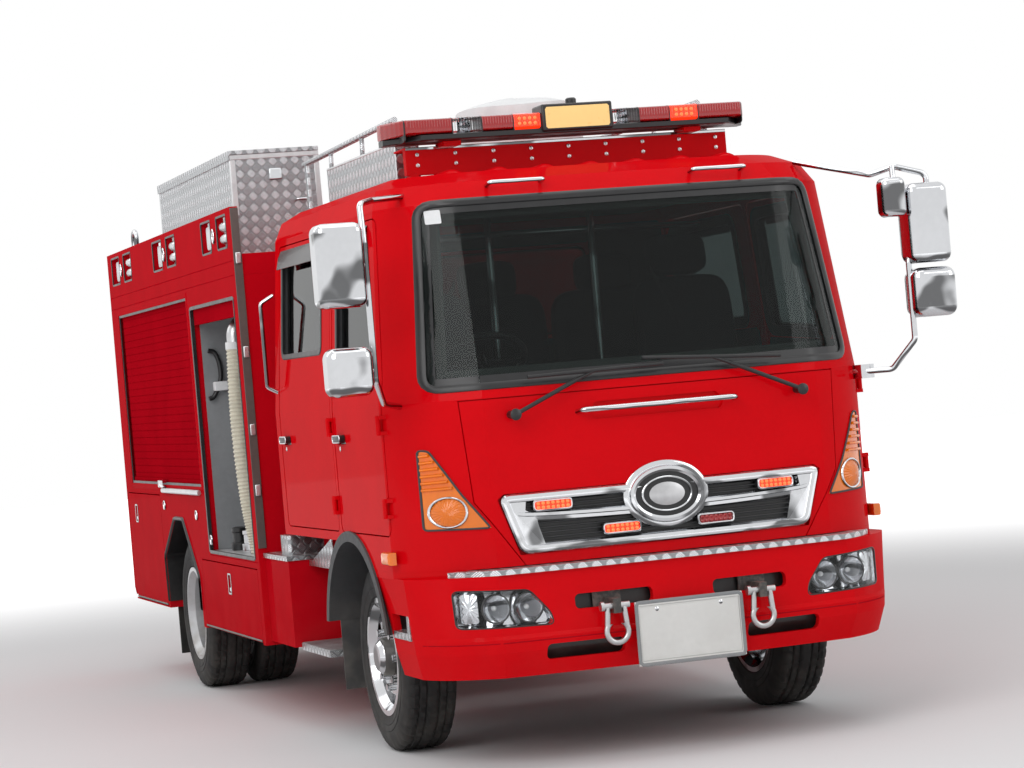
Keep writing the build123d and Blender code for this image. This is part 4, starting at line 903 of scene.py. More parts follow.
@dataclass
class Grille(Assembly):
    """Surround, slats, middle bar, four lamps and the badge's blank place."""

    outline: tuple = ((-636, 878), (636, 878), (712, 1124), (-712, 1124))
    wing: tuple = ((528, 886), (630, 886), (703, 1116), (596, 1116), (618, 1062), (560, 1030), (560, 1000))
    round_edge: tuple = ((2, -28), (2, 6), (-4, 13), (-16, 16), (-30, 13), (-38, 4), (-38, -26))
    slats: tuple = (918, 938, 958, 978, 998, 1052, 1070, 1088)
    slat_half: float = 600.0
    bar: tuple = ((-24, -26), (-24, 0), (-17, 9), (-4, 10), (0, 15), (12, 13), (20, 4), (20, -26))
    bar_height: float = 1038.0
    bar_half: float = 640.0
    badge_height: float = 1070.0
    rings: tuple = (
        ("badge_collar", 142, 96, ((-4, -20), (-4, 20), (6, 26), (18, 24), (25, 12), (26, -20))),
        ("badge_arch", 160, 112, ((-8, -20), (-8, 9), (2, 15), (18, 15), (27, 9), (28, -20))),
        ("badge_inner_ring", 108, 70, tuple(lens_section(5, 15, 25))),
    )
    lamps: tuple = ((-492, 1071, True), (492, 1071, True), (-207, 950, True), (207, 950, False))
    lamp_half: tuple = (84, 24)

    def build(self) -> None:
        """Surround with its backing, slats and bar, then the badge's place and the lamps."""
        edge = shape_outline(self.outline, 46.0, 300, 10)
        wing = shape_outline(self.wing, 16.0, 140)
        self.add("grille_surround", bead(CAB, edge, self.round_edge), CHROME, replaces=("grille",))
        self.add("grille_wings", pad(CAB, wing, 9.0, 3.0, -20.0), CHROME, both=True)
        self.add("grille_backing", pad(CAB, grown(edge, -30), -24.0), BLACK, replaces=("grille_mesh",))
        blades = []
        for z in self.slats:
            half = self.slat_half + (z - self.outline[0][1]) * 0.26
            blades.append(strip(CAB, (-half, half), (z, z), lens_section(3.4, -22.0, -4.0)))
        self.add("grille_slats", blades, DARK)
        self.middle_bar()
        for name, half_x, half_z, section in self.rings:
            self.add(name, bead(CAB, oval(0, self.badge_height, half_x, half_z, 96), section), CHROME)
        plate, middle = (oval(0, self.badge_height, *half, 96) for half in ((139, 93), (78, 48)))
        self.add("badge_plain_plate", pad(CAB, plate, 15.0, 4.0), BLACK)
        self.add("badge_plain_oval", pad(CAB, middle, 20.0, 9.0, 10.0), STEEL)
        for k, (x, z, lit) in enumerate(self.lamps):
            self.lamp(f"grille_lamp_{k}", x, z, lit)

    def middle_bar(self) -> None:
        """Bar that dips by 20 mm times a power of the sine of its way across."""
        u = np.linspace(0, 1, 60)[:, None]
        rise, high = np.array(self.bar, float).T
        x = self.bar_half * (2 * u - 1) + 0 * rise
        z = self.bar_height - 20 * np.sin(np.pi * u) ** 0.6 + rise
        self.add("grille_middle_bar", grid(CAB.point(x, z, high), round_v=True, cap=True), CHROME)

    def lamp(self, name: str, x: float, z: float, lit: bool) -> None:
        """Flat lamp in a chrome bezel on a black base, with two rows of domes on its lens.

        Args:
            name: first part of its pieces' names.
            x: place of its middle to the left.
            z: height of its middle.
            lit: whether it shines.
        """
        half_x, half_z = self.lamp_half
        edge = box_outline(x - half_x, x + half_x, z - half_z, z + half_z, 20, 72)
        spots = [(x + dx, z + dz) for dx in np.arange(-62, 63, 20.7) for dz in (-8.5, 8.5)]
        self.add_all((
            (name + "_base", pad(CAB, grown(edge, -3), 14.0, 0.0, -12.0), BLACK),
            (name + "_bezel", bead(CAB, grown(edge, -5), lens_section(6, 8, 26)), CHROME),
            (name + "_lens", pad(CAB, grown(edge, -9), 17.0, 6.0), LIT_RED if lit else RED_LENS),
            (name + "_domes", [pad(CAB, oval(*spot, 7.5, 7.5, 16), 22.0, 4.0) for spot in spots],
             LIT_DOT if lit else RED_LENS),
        ))


@dataclass
class Windscreen(Assembly):
    """Black border, rubber seal and blank sticker of the windscreen, and the rear pane's seal."""

    corners: tuple = ((-948, 1580), (948, 1580), (872, 2350), (-872, 2350))
    border: tuple = ((-1, -7.2), (-1, -6.8), (-42, -6.8), (-42, -7.2))
    seal: tuple = (
        (-12, -7), (-13, -1), (-6, 3.5), (6, 5), (15, 3.5), (18, 0.5), (16, -3), (2, -3.5), (-4, -7),
    )
    rear_pane: tuple = (-560, 560, 1800, 2230)
    rear_seal: tuple = ((-14, -8), (-10, 2), (10, 4), (16, 0), (12, -3))

    def edge(self, count: int) -> Array:
        """Outline of the screen."""
        return shape_outline(self.corners, 60.0, count, 8)

    def build(self) -> None:
        """Border on the glass, seals over the edges and the sticker."""
        edge = self.edge(260)
        rear = box_outline(*self.rear_pane, 50, 160)
        self.add_all((
            ("windscreen_border", bead(CAB, edge, self.border), BLACK),
            ("windscreen_seal", bead(CAB, edge, self.seal), BLACK),
            ("blank_sticker", pad(CAB, box_outline(-852, -790, 2268, 2326, 5), -6.4), WHITE),
            ("rear_pane_seal", bead(Wall(2560, 1.0), rear, self.rear_seal), BLACK),
        ))


@dataclass
class TurnLamps(Assembly):
    """Louvres with painted shade strips between them, a fluted round lamp and a rim on each corner lamp."""

    rim: tuple = ((752, 998), (985, 1003), (985, 1335), (950, 1330), (848, 1140))
    round_lamp: tuple = (898, 1072, 60, 56)
    end: float = 978.0

    def build(self) -> None:
        """Both sides at once, as mirror images."""
        fins, shade_strips = [], []
        for z in np.linspace(1172, 1312, 6):
            inner = np.interp(z, [1140, 1330], [856, 950]) + 6
            fins.append(strip(CAB, (inner, self.end), (z, z - 3), lens_section(6.5, 1, 17), 24))
            # Dark amber strip between two fins: painted shade between the louvres
            shade_strips.append(strip(CAB, (inner + 4, self.end), (z - 13, z - 16), lens_section(6.5, 0.6, 2.5), 24))
        lamp, rim = oval(*self.round_lamp, 96), shape_outline(self.rim, 14.0, 120)
        self.add_all((
            ("turn_lamp_louvres", fins, AMBER), ("turn_lamp_painted_shade", shade_strips, AMBER_PAINTED_SHADE),
            ("turn_lamp_round", pad(CAB, lamp, 6.0, 20.0, -6.0, flutes=24), AMBER),
            ("turn_lamp_ring", bead(CAB, grown(lamp, 5), lens_section(5, 2, 13)), CHROME),
            ("turn_lamp_rim", bead(CAB, rim, lens_section(4, 1, 8)), DARK),
        ), both=True)


@dataclass
class Headlamps(Assembly):
    """Clear headlamps: a thin lens over bowls, bulbs and a fluted side reflector in a chrome tub."""

    corners: tuple = ((560, 592), (935, 600), (940, 752), (650, 738), (570, 640))
    tub: tuple = ((1.0, -8), (1.0, -60), (0.96, -74), (0.5, -80), (0.02, -80))
    bowls: tuple = ((652.0, 668.0, 60.0), (785.0, 672.0, 58.0))
    bowl_depth: float = 55.0

    def build(self) -> None:
        """The lens stands for the CAD lamp; the rest lies behind it."""
        edge = grown(shape_outline(self.corners, 22.0, 140), -2.0)
        lens = pad(BUMPER, edge, -2.5, 0.0, -5.5)
        self.add("headlamp_lens", lens, CLEAR, replaces=("headlamps",), both=True)
        bowls, bulbs, rims = [], [], []
        for x, z, r in self.bowls:
            back = float(BUMPER.station(x, z)) + 78
            u, a = np.linspace(0.05, 1, 10), np.linspace(0.05, np.pi - 0.05, 10)
            bowls.append(lathe(np.stack([back - self.bowl_depth * u**2, r * u], axis=1), (x, 0, z), 1, 40))
            rim = [(back - 60, r - 3), (back - 62, r + 3), (back - 50, r + 4)]
            rims.append(lathe(rim, (x, 0, z), 1, 40))
            bulb = np.stack([back - 24 - 15 * np.cos(a), 11 * np.sin(a)], axis=1)
            bulbs.append(lathe(bulb, (x, 0, z), 1, 20))
        side = box_outline(862, 926, 616, 738, 14)
        self.add_all((
            ("headlamp_housing", nested(BUMPER, edge, *zip(*self.tub)), CHROME),
            ("headlamp_bowls", bowls, CHROME), ("headlamp_bowl_rims", rims, DARK),
            ("headlamp_bulbs", bulbs, WHITE),
            ("headlamp_side_reflector", pad(BUMPER, side, -22.0, 10.0, None, flutes=12), CHROME),
            ("headlamp_seal", bead(BUMPER, grown(edge, 3.5), lens_section(3, -5, 2)), BLACK),
        ), both=True)


@dataclass
class LightBar(Assembly):
    """Light bar of coloured lens sections on a tray, with the blank sign over its middle."""

    half: float = 846.0
    front: float = 862.0
    back: float = 1106.0
    tray: tuple = (2655, 2682)
    lens: tuple = (2683, 2751)
    sections: tuple = (
        ("end", 786, 846, RED_LENS, RED_LENS), ("outer", 572, 783, RED_LENS, RED_LENS),
        ("third", 438, 569, CLEAR, LIT_RED), ("second", 293, 435, RED_LENS, RED_LENS),
        ("first", 168, 290, LIT_RED, CLEAR),
    )
    straps: tuple = (166.5, 291.5, 436.5, 570.5, 784.5)
    bowls: tuple = (("right", -505), ("left", 230))
    sign: tuple = (-164, 164, 846.5, 990, 2663, 2783)
    horn: tuple = ((2784, 20), (2786, 24), (2806, 24), (2812, 18), (2813, 1))

    def hull(self, x0: float, x1: float, z0: float, z1: float, shrink: float = 0.0,
             ribs: float = 0.0) -> Patch:
        """Rounded box section carried along x; its front edge runs back near the bar's ends.

        Args:
            x0: start.
            x1: end.
            z0: bottom.
            z1: top.
            shrink: how far the section stays inside the bar's own.
            ribs: upright ribs, in radians a millimetre.

        Returns:
            The closed hull.
        """
        x = np.linspace(x0, x1, 90 if ribs else 14)[:, None]
        bend = 184 * np.clip((np.abs(x) - 770) / 76, 0, 1) ** 1.6
        front = self.front + bend + shrink + 1.6 * np.sin(x * ribs) ** 2
        unit = soften(np.array([[0, 0], [1, 0], [1, 1], [0, 1]], float), 0.16, 7)
        s = front + (self.back - shrink - front) * unit[None, :, 0]
        z = z0 + shrink + (z1 - z0 - 2 * shrink) * unit[None, :, 1]
        return grid(at(x + 0 * s, s, z), round_v=True, cap=True)

    def build(self) -> None:
        """Tray, lens sections, bowls inside the clear ones, points, straps, the sign and a horn."""
        tray = self.hull(3 - self.half, self.half - 3, *self.tray)
        self.add("lightbar_tray", tray, BLACK, replaces=("lightbar",))
        for name, x0, x1, right, left in self.sections:
            self.add(f"lightbar_{name}_right", self.hull(-x1, -x0, *self.lens, ribs=0.26), right)
            self.add(f"lightbar_{name}_left", self.hull(x0, x1, *self.lens, ribs=0.26), left)
        u = np.linspace(0.05, 1, 10)
        bowl = np.stack([990 - 60 * u**2, 30 * u], axis=1)
        for side, x in self.bowls:
            self.add(f"lightbar_bowl_{side}", lathe(bowl, (x, 0, 2716), 1, 32), CHROME)
        spots = [(x + dx, z) for x in (-229, 503.5) for dx in (-36, -12, 12, 36) for z in (2706, 2728)]
        straps = [self.hull(x - 2.5, x + 2.5, self.tray[0], self.lens[1] + 0.5, -0.4)
                  for x in (*(-x for x in self.straps[::-1]), *self.straps)]
        self.add_all((
            ("lightbar_lit_points",
             [pad(Wall(self.front - 1), oval(*spot, 8, 8, 16), 0.6, 3.0) for spot in spots], LIT_DOT),
            ("lightbar_straps", straps, BLACK),
            ("lightbar_sign_panel",
             pad(Wall(self.sign[2]), box_outline(-148, 148, 2676, 2770, 8), 0.8), SIGN),
            ("lightbar_horn", lathe(self.horn, (0, 925, 0), 2, 24), BLACK),
        ))
        self.add("lightbar_sign", slab(*self.sign), BLACK, bevel=0.008)


@dataclass
class Interior(Assembly):
    """Padded seats, poles, rail, belts, dashboard fittings, floor mat and linings of the cab.

    rows holds, for each row of seats, its name, the places along x, the width, the backs' lean in
    radians, the stations of cushion and back, and the headrests' station and height.
    """

    rows: tuple = (
        ("front", (-640.0, 640.0), 470, 0.17, 1170, 1425, (1490, 2110)),
        ("rear", (-600.0, 0.0, 600.0), 560, 0.04, 2200, 2425, (2432, 2085)),
    )
    rear_panels: tuple = (
        (-1020, 1020, 1020, 1780), (-960, -585, 1790, 2330), (585, 960, 1790, 2330), (-580, 580, 2245, 2330),
    )
    screen_lining: tuple = ((4, -50), (4, -62), (-58, -66), (-70, -58), (-58, -50))
    floor: float = 1011.0
    ceiling: float = 2371.0

    def build(self) -> None:
        """Seats, which stand for the CAD ones, then the fittings."""
        self.seats()
        self.trim()

    def seats(self) -> None:
        """Bases, and a cushion, a back and a headrest for each place; the bench has three places."""
        front = self.rows[0][1]
        bases = [slab(x - 225, x + 225, 950, 1380, self.floor, 1240) for x in front]
        bases.append(slab(-895, 895, 2000, 2430, self.floor, 1250))
        self.add("seat_bases", bases, DARK, replaces=("seats",), bevel=0.012)
        places = [(x, row) for row in self.rows for x in row[1]]
        for k, (x, (name, _, width, lean, cushion_at, back_at, rest_at)) in enumerate(places):
            parts = {
                "cushion": pillow((x, cushion_at, 1330), (width, 460, 170)),
                "back": self.leaned(pillow((0, 0, 0), (width, 120, 620)), lean, (x, back_at, 1700)),
                "headrest": self.leaned(pillow((0, 0, 0), (290, 95, 190), 0.5), lean, (x, *rest_at)),
            }
            for part, patch in parts.items():
                self.add(f"seat_{name}_{k}_{part}", patch, SEAT)
        posts = [tube(curve([(x + d, 1470, 1980), (x + d, 1480, 2060)], 6), 0.006)
                 for x in front for d in (-60, 60)]
        self.add("headrest_posts", posts, CHROME)

    def leaned(self, patch: Patch, lean: float, centre: tuple) -> Patch:
        """Cushion tipped back and set in place.

        Args:
            patch: the cushion, made about (0, 0, 0).
            lean: angle in radians.
            centre: (x, station, z) of its middle.

        Returns:
            The cushion in its place.
        """
        x, y, z = (patch.verts - at(0, 0, 0)).T
        c, s = np.cos(lean), np.sin(lean)
        return Patch(np.stack([x, y * c + z * s, z * c - y * s], axis=1) + at(*centre), patch.faces)

    def trim(self) -> None:
        """Linings, floor mat, poles, dashboard binnacle, vents, screen and belts."""
        poles = [tube(curve([(x, 1530, 1015), (x, 1530, 2365)], 12), 0.017, 16) for x in (-250, 250)]
        rail = tube(curve([(-800, 1560, 2250), (0, 1560, 2265), (800, 1560, 2250)], 24), 0.015, 14)
        belts = [strip(Wall(1380.0), (x - 170 * np.sign(x), x + 120 * np.sign(x)), (2050, 1450),
                       lens_section(22, 0, 3), 14) for x in self.rows[0][1]]
        roof, mat = box_outline(-840, 840, 700, 2480, 60, 80), box_outline(-1000, 1000, 480, 2480, 30)
        vents = [pillow((x, 640, 1430), (120, 24, 60), 0.3, 14) for x in (-250, 0, 250, 700)]
        self.add_all((
            ("screen_lining", bead(CAB, Windscreen().edge(200), self.screen_lining), LINING),
            ("rear_wall_panels",
             [pad(Wall(2509.0), box_outline(*box, 16), 0.0, 3.0) for box in self.rear_panels], DARK),
            ("floor_mat", pad(Ground(self.floor + 2), mat, 0.0), DARK),
            ("roof_lining", pad(Ground(self.ceiling), roof, 0.0), LINING),
            ("crew_poles", poles, CHROME), ("crew_rail", rail, CHROME),
            ("dash_binnacle", pillow((-600, 470, 1545), (520, 260, 110), 0.6), DARK),
            ("dash_vents", vents, BLACK),
            ("front_belts", belts, BLACK),
        ))
        self.add("dash_screen", slab(-120, 120, 560, 590, 1480, 1600), BLACK, bevel=0.006)


@dataclass
class Wheels(Assembly):
    """Tyres with tread and bare sidewalls, nuts and hub caps, on the wheels' bodies."""

    width: float = 248.0
    front_outer: float = 995.0
    rear_outer: float = 1103.0
    twin_pitch: float = 279.0
    profile: tuple = (
        (-98, 254), (-116, 270), (-122, 300), (-120, 304), (-124, 312), (-124, 330), (-121, 333),
        (-122, 352), (-118, 366), (-110, 392), (-104, 406), (-94, 414), (-84, 418), (-66, 419), (-62, 419),
        (-56, 419.4), (-34, 419.7), (-28, 419.7), (-22, 419.8), (-12, 420), (-7, 420), (0, 420),
    )
    grooves: tuple = (-62.0, -28.0, 28.0, 62.0)
    cap: tuple = ((998, 1), (999, 30), (997, 58), (991, 76), (981, 84), (925, 90), (907, 96))
    nut_circle: float = 137.0

    def tyre(self, outer: float, station: float) -> Patch:
        """Tyre whose tread is a height field over its profile.

        The radius goes down by a groove's depth where a zigzag groove, four of which run round, or a
        short cross cut of the shoulder lies; the sidewall has two raised rings.

        Args:
            outer: x of its outer face.
            station: its axle's station.

        Returns:
            The tyre.
        """
        half = np.array(self.profile, float)
        profile = np.vstack([half, half[-2::-1] * [-1, 1]])
        a = angles(180)[None, :]
        along, r = profile[:, :1], profile[:, 1:]
        zigzag = 5.0 * np.sign(np.sin(60 * a))
        near = [np.clip(1.6 - np.abs(along - place - zigzag * 0.4) / 4.0, 0, 1) for place in self.grooves]
        groove = np.max(near, axis=0)
        cuts = (np.abs(along) > 70) & (r > 385) & (np.sin(45 * a) > 0.72)
        sipes = (np.abs(along) < 58) & (r > 400) & (np.sin(45 * a + along * 0.02) > 0.93)
        r = r - 11.0 * groove * (np.abs(along) < 72) - 8.0 * cuts - 4.0 * sipes
        x = outer - self.width / 2 + along
        return grid(at(x, station + r * np.cos(a), HUB_HEIGHT + r * np.sin(a)), round_v=True)

    def nuts(self, face: float, station: float, length: float) -> Patch:
        """Eight closed nuts on their flanges round the studs' circle.

        Args:
            face: x of their faces.
            station: the axle's station.
            length: of each nut with its flange.

        Returns:
            The nuts.
        """
        profile = [(-length, 22), (-length + 6, 22), (-length + 7, 17), (-6, 17), (0, 11), (1, 0.5)]
        spots = [(face, station + self.nut_circle * np.cos(a), HUB_HEIGHT + self.nut_circle * np.sin(a))
                 for a in angles(8)]
        return joined([lathe(profile, spot, 0, 6) for spot in spots])

    def build(self) -> None:
        """Each wheel once, with its mirror image on the other side's body."""
        twins = [self.tyre(self.rear_outer - inset, REAR_AXLE) for inset in (0.0, self.twin_pitch)]
        cap = lathe(self.cap, (0, FRONT_AXLE, HUB_HEIGHT), 0, 40)
        front, rear = "front_wheel", "rear_wheels"
        self.add_sides("tyre_front", self.tyre(self.front_outer, FRONT_AXLE), TYRE, front, "front_tyre")
        self.add_sides("tyres_rear", joined(twins), TYRE, rear, "rear_tyres")
        self.add_sides("nuts_front", self.nuts(974.0, FRONT_AXLE, 46.0), STEEL, front)
        self.add_sides("nuts_rear", self.nuts(868.0, REAR_AXLE, 40.0), STEEL, rear)
        self.add_sides("hub_cap", cap, BLACK_STEEL, front)


@dataclass
class Doors(Assembly):
    """Window rubbers, visors, handles, locks and inner trims of the four doors.

    doors holds, for each door, the window's corners, the handle's station, the visor's two ends and
    the inner trim's corners.
    """

    doors: tuple = (
        ("front_door", ((640, 1700), (1310, 1740), (1310, 2245), (745, 2245)), 1273.0, (740.0, 1325.0),
         ((575, 1020), (1360, 1020), (1360, 1690), (590, 1650))),
        ("rear_door", ((1600, 1790), (2410, 1790), (2410, 2245), (1600, 2245)), 2355.0, (1585.0, 2425.0),
         ((1465, 1020), (2440, 1020), (2440, 1740), (1465, 1740))),
    )
    rubber: tuple = ((-13, -10), (-14, 1), (-6, 4), (8, 4), (12, 1), (10, -3), (0, -6))
    drip: tuple = ((0, 1.5), (3, 3), (-30, 17), (-84, 24), (-86, 22), (-32, 14))
    reveal: tuple = ((-1, -6), (-4, -6), (-4, -48), (-1, -48))
    inner: tuple = ((-4, -47), (-4, -53), (46, -54), (48, -47))

    def build(self) -> None:
        """Left pieces, and their mirror images for the right doors."""
        for door, window, s, visor, trim in self.doors:
            edge = shape_outline(window, 45.0, 140, 8)
            cup = box_outline(s - 84, s + 64, 1373, 1411, 17)
            grip = box_outline(s - 72, s + 52, 1384, 1409, 11)
            armrest = strip(CAB_SIDE, (s - 430, s - 60), (1480, 1470), lens_section(22, -96, -50), 12)
            pieces = (
                ("window_rubber", bead(CAB_SIDE, edge, self.rubber), BLACK),
                ("visor", strip(CAB_SIDE, visor, (2297, 2297), self.drip, 24), VISOR),
                ("handle_cup", pad(CAB_SIDE, cup, -12.5), BLACK),
                ("handle_grip", pad(CAB_SIDE, grown(grip, 5), 25.0, 5.5, 0.5), BLACK),
                ("handle_edge", bead(CAB_SIDE, grown(grip, 3), lens_section(3, 23, 28)), CHROME),
                ("lock", pad(CAB_SIDE, oval(s + 22, 1352, 11, 11, 24), 1.0, 3.0), CHROME),
                ("trim", pad(CAB_SIDE, shape_outline(trim, 30.0, 90), -47.0, -5.0), DARK),
                ("armrest", armrest, DARK),
                ("window_reveal", bead(CAB_SIDE, edge, self.reveal), DARK),
                ("inner_frame", bead(CAB_SIDE, edge, self.inner), DARK),
            )
            for name, patch, finish in pieces:
                self.add_sides(f"{door}_{name}", patch, finish, door)


@dataclass
class BodySide(Assembly):
    """Fittings on the pump body's sides: slots, rings, pulls, shutter grip, latches, arches and the bay.

    doors holds, for a low flap and a tail hatch, its name, its two ends, the height of its lower lip,
    and the station and height of its pull.
    """

    slots: tuple = ((3045, 3290), (3445, 3695), (4450, 4720), (4860, 5150), (5890, 6160), (6310, 6590))
    slot_heights: tuple = (2374, 2537)
    slot_seal: tuple = ((-5, -4), (-5, 1.5), (4, 2.5), (6, 0.2), (4, -1))
    flask: tuple = (
        (-72, 4), (-70, 19), (-60, 25), (-20, 25), (-16, 20), (16, 20), (20, 25), (60, 25), (70, 19), (72, 4),
    )
    pulls: tuple = ((5439, 1035), (4475, 997), (4107, 871))
    shutter: tuple = (4255, 6515, 1130, 2205)
    seams: tuple = ((2945, 6735, 2300), (2945, 6735, 2228), (2945, 4190, 790))
    latches: tuple = (2310, 1842, 1454, 1152)
    doors: tuple = (("flap", 3000, 4440, 396, 3720, 612), ("hatch", 5592, 6620, 450, 6430, 928))
    arch_line: tuple = (
        (4537, 470), (4537, 640), (4720, 800), (4902, 956), (5162, 956), (5370, 835), (5542, 734),
        (5530, 470),
    )
    flare: tuple = ((0.4, -2), (9, 2), (12, 9), (9, 16), (0.4, 20))
    bay_box: tuple = (3015, 4180, 805, 2118)
    bay_seal: tuple = ((-10, -16), (-10, 2), (6, 4), (9, 0.2), (6, -1))
    bay_back: float = -621.5
    hose_line: tuple = ((-1040, 3430, 806), (-1076, 3430, 1100), (-1091, 3430, 1500), (-1080, 3430, 1880))
    elbow: tuple = ((-1078, 3430, 1900), (-1072, 3432, 1960), (-1030, 3440, 2010), (-960, 3450, 2024))
    hook: tuple = (
        (-1075, 4150, 1884), (-1040, 4150, 1870), (-1018, 4150, 1800), (-1022, 4150, 1720),
        (-1060, 4150, 1640), (-1090, 4150, 1625),
    )
    coupling: tuple = (
        (0, 42), (6, 46), (40, 46), (44, 34), (92, 34), (98, 40), (118, 40), (124, 20), (125, 1),
    )
    couplings: tuple = ((-1040, 3905), (-1010, 3790), (-900, 3960), (-880, 3700))

    def build(self) -> None:
        """Both sides, then the pieces of the right side's open bay."""
        self.upper_slots()
        self.fittings()
        self.low_doors()
        self.arch()
        self.bay()

    def upper_slots(self) -> None:
        """Seals and backs of the slots, with a white pack or two couplings in each, and lashing rings."""
        edges = [box_outline(*slot, *self.slot_heights, 10) for slot in self.slots]
        mids = [(s0 + s1) / 2 + 20 for s0, s1 in self.slots]
        packs = [pad(BODY_SIDE, box_outline(mid - 78, mid + 78, 2396, 2514, 22), -22.0, 8.0, -54.0)
                 for mid in mids[1::2]]
        flasks = [lathe(self.flask, (BODY_HALF - 31, mid, z), 1, 24)
                  for mid in mids[::2] for z in (2424, 2486)]
        rings = [bead(BODY_SIDE, oval((a[1] + b[0]) / 2, 2450, 20, 34), lens_section(5, 0.5, 10))
                 for a, b in zip(self.slots[::2], self.slots[1::2])]
        self.add_all((
            ("slot_seals", [bead(BODY_SIDE, edge, self.slot_seal) for edge in edges], BLACK),
            ("slot_backs", [pad(BODY_SIDE, edge, -58.0) for edge in edges], SHUTTER_RED),
            ("slot_white_packs", packs, WHITE), ("slot_couplings", flasks, ALLOY),
            ("lashing_rings", rings, CHROME),
        ), both=True)

    def fittings(self) -> None:
        """Pulls, the shutter's grip, latch and frame, seams, and the rail with its latches on the corner."""
        rims = [bead(BODY_SIDE, oval(*spot, 24, 24, 32), lens_section(4, 0, 8)) for spot in self.pulls]
        cups = [pad(BODY_SIDE, oval(*spot, 20, 20, 32), 2.0, 5.0) for spot in self.pulls]
        edge = box_outline(*self.shutter, 12, 200)
        seams = [strip(BODY_SIDE, (s0, s1), (z, z), lens_section(2.4, -1, 0.9), 12)
                 for s0, s1, z in self.seams]
        latch = pad(BODY_SIDE, box_outline(5330, 5480, 1140, 1180, 10), 24.0, 4.0, -4.0)
        self.add_all((
            ("pull_rims", rims, CHROME), ("pull_cups", cups, STEEL),
            ("shutter_grip", strip(BODY_SIDE, (4300, 5420), (1122, 1122), lens_section(15, 0.4, 22)), ALLOY),
            ("shutter_latch", latch, CHROME),
            ("shutter_frame", bead(BODY_SIDE, edge, ((-24, -8), (-24, 1.5), (5, 3), (10, 0.2))), BODY_RED),
            ("shutter_rubber", bead(BODY_SIDE, edge, ((-38, -9), (-38, -3), (-24, -2), (-24, -9))), BLACK),
            ("panel_seams", seams, SHUTTER_RED),
        ), both=True)
        self.add("corner_rail", slab(1108, 1149, 2921, 2929.6, 862, 2560), RAIL, bevel=0.002, both=True)
        latches = [slab(1116, 1142, 2908, 2921, z - 28, z + 28) for z in self.latches]
        self.add("corner_latches", latches, ALLOY, bevel=0.004, both=True)

    def low_doors(self) -> None:
        """Lip and recessed pull of each flap and hatch, on their bodies."""
        for name, s0, s1, low, mid, top in self.doors:
            lip = strip(BODY_SIDE, (s0 + 4, s1 - 4), (low, low), lens_section(5, 0.3, 5), 12)
            bar = slab(BODY_HALF - 14.6, BODY_HALF - 1, mid - 24, mid + 24, top - 2, top + 22)
            cup = box_outline(mid - 36, mid + 36, top - 12, top + 90, 8)
            rim = bead(BODY_SIDE, cup, lens_section(5, 0, 3))
            self.add_sides(f"{name}_lip", lip, BLACK_STEEL, name)
            self.add_sides(f"{name}_pull", bar, CHROME, name, bevel=0.003)
            self.add_sides(f"{name}_pull_rim", rim, STEEL, name)

    def arch(self) -> None:
        """Rubber flare and liner along the rear wheel's opening, and the mud flap."""
        line = np.array(self.arch_line, float)
        run = np.linspace(0, len(line) - 1, 60)
        s, z = (np.interp(run, np.arange(len(line)), line[:, k]) for k in (0, 1))
        rows = np.stack([at(BODY_HALF + dx, s, z + dz) for dx, dz in self.flare], axis=1)
        toward = np.array([REAR_AXLE, 450.0]) - np.stack([s, z], axis=1)
        toward *= 2.2 / np.linalg.norm(toward, axis=1, keepdims=True)
        inner = [at(BODY_HALF - d, s + toward[:, 0], z + toward[:, 1]) for d in (2, 250, 508)]
        self.add_all((
            ("rear_arch_flare", grid(rows, round_v=True), BLACK),
            ("rear_arch_liner", grid(np.stack(inner, axis=1)), BLACK),
        ), both=True)
        flap = slab(638.5, 1101.5, REAR_AXLE + 518.5, REAR_AXLE + 527.5, 158, 500)
        self.add("mud_flap_rubbers", flap, BLACK, bevel=0.001, both=True)

    def bay(self) -> None:
        """Lining, floor slats, ribbed hose with its clamp, hook and couplings of the open bay."""
        s0, s1, z0, z1 = (edge + inset for edge, inset in zip(self.bay_box, (1, -1, 1, -1)))
        back, front = self.bay_back, -1104
        walls = [slab(front, back, s, s + 3, z0, z1) for s in (s0, s1 - 3)]
        walls.append(slab(back - 2.5, back + 0.5, s0, s1, z0, z1))
        walls.append(slab(front, back - 0.5, s0 + 3, s1 - 3, z1 - 3, z1))
        seal = bead(BODY_SIDE, box_outline(*self.bay_box, 8, 160), self.bay_seal)
        line = curve(self.hose_line, 240)
        ribs = 0.0405 + 0.0034 * np.sin(np.linspace(0, 2 * np.pi * 58, len(line)))
        along = (0, 1, 0)
        clamp = tube(curve([(-1079, 3430, 1868), (-1078, 3430, 1905)], 6), 0.0465, 28, along)
        bits = []
        for k, spot in enumerate(self.couplings):
            shape = np.array(self.coupling) * [1.0 - 0.12 * k, 1.0 - 0.1 * k]
            bits.append(lathe(shape, (*spot, 813.5), 2, 28))
        self.add("suction_hose", tube(line, ribs, 28, along), HOSE, replaces=("suction_hose",))
        self.add_all((
            ("bay_lining", walls, GREY), ("bay_seal", seal.flipped(), BLACK), ("hose_clamp", clamp, WHITE),
            ("hose_elbow", tube(curve(self.elbow, 24), 0.038, 24, along), STEEL),
            ("bay_hook", tube(curve(self.hook, 40), 0.013, 14, along), BLACK),
            ("bay_couplings_dark", bits[::2], BLACK), ("bay_couplings_bright", bits[1::2], STEEL),
        ))
        slats = [slab(-1128, -628, s, s + 46, 805.4, 813) for s in np.arange(3024, 4130, 58.0)]
        self.add("bay_floor_slats", slats, ALLOY, bevel=0.002)
        self.add("bay_hook_holder", slab(-1060, -985, 4128, 4176, 1665, 1715), WHITE, bevel=0.006)


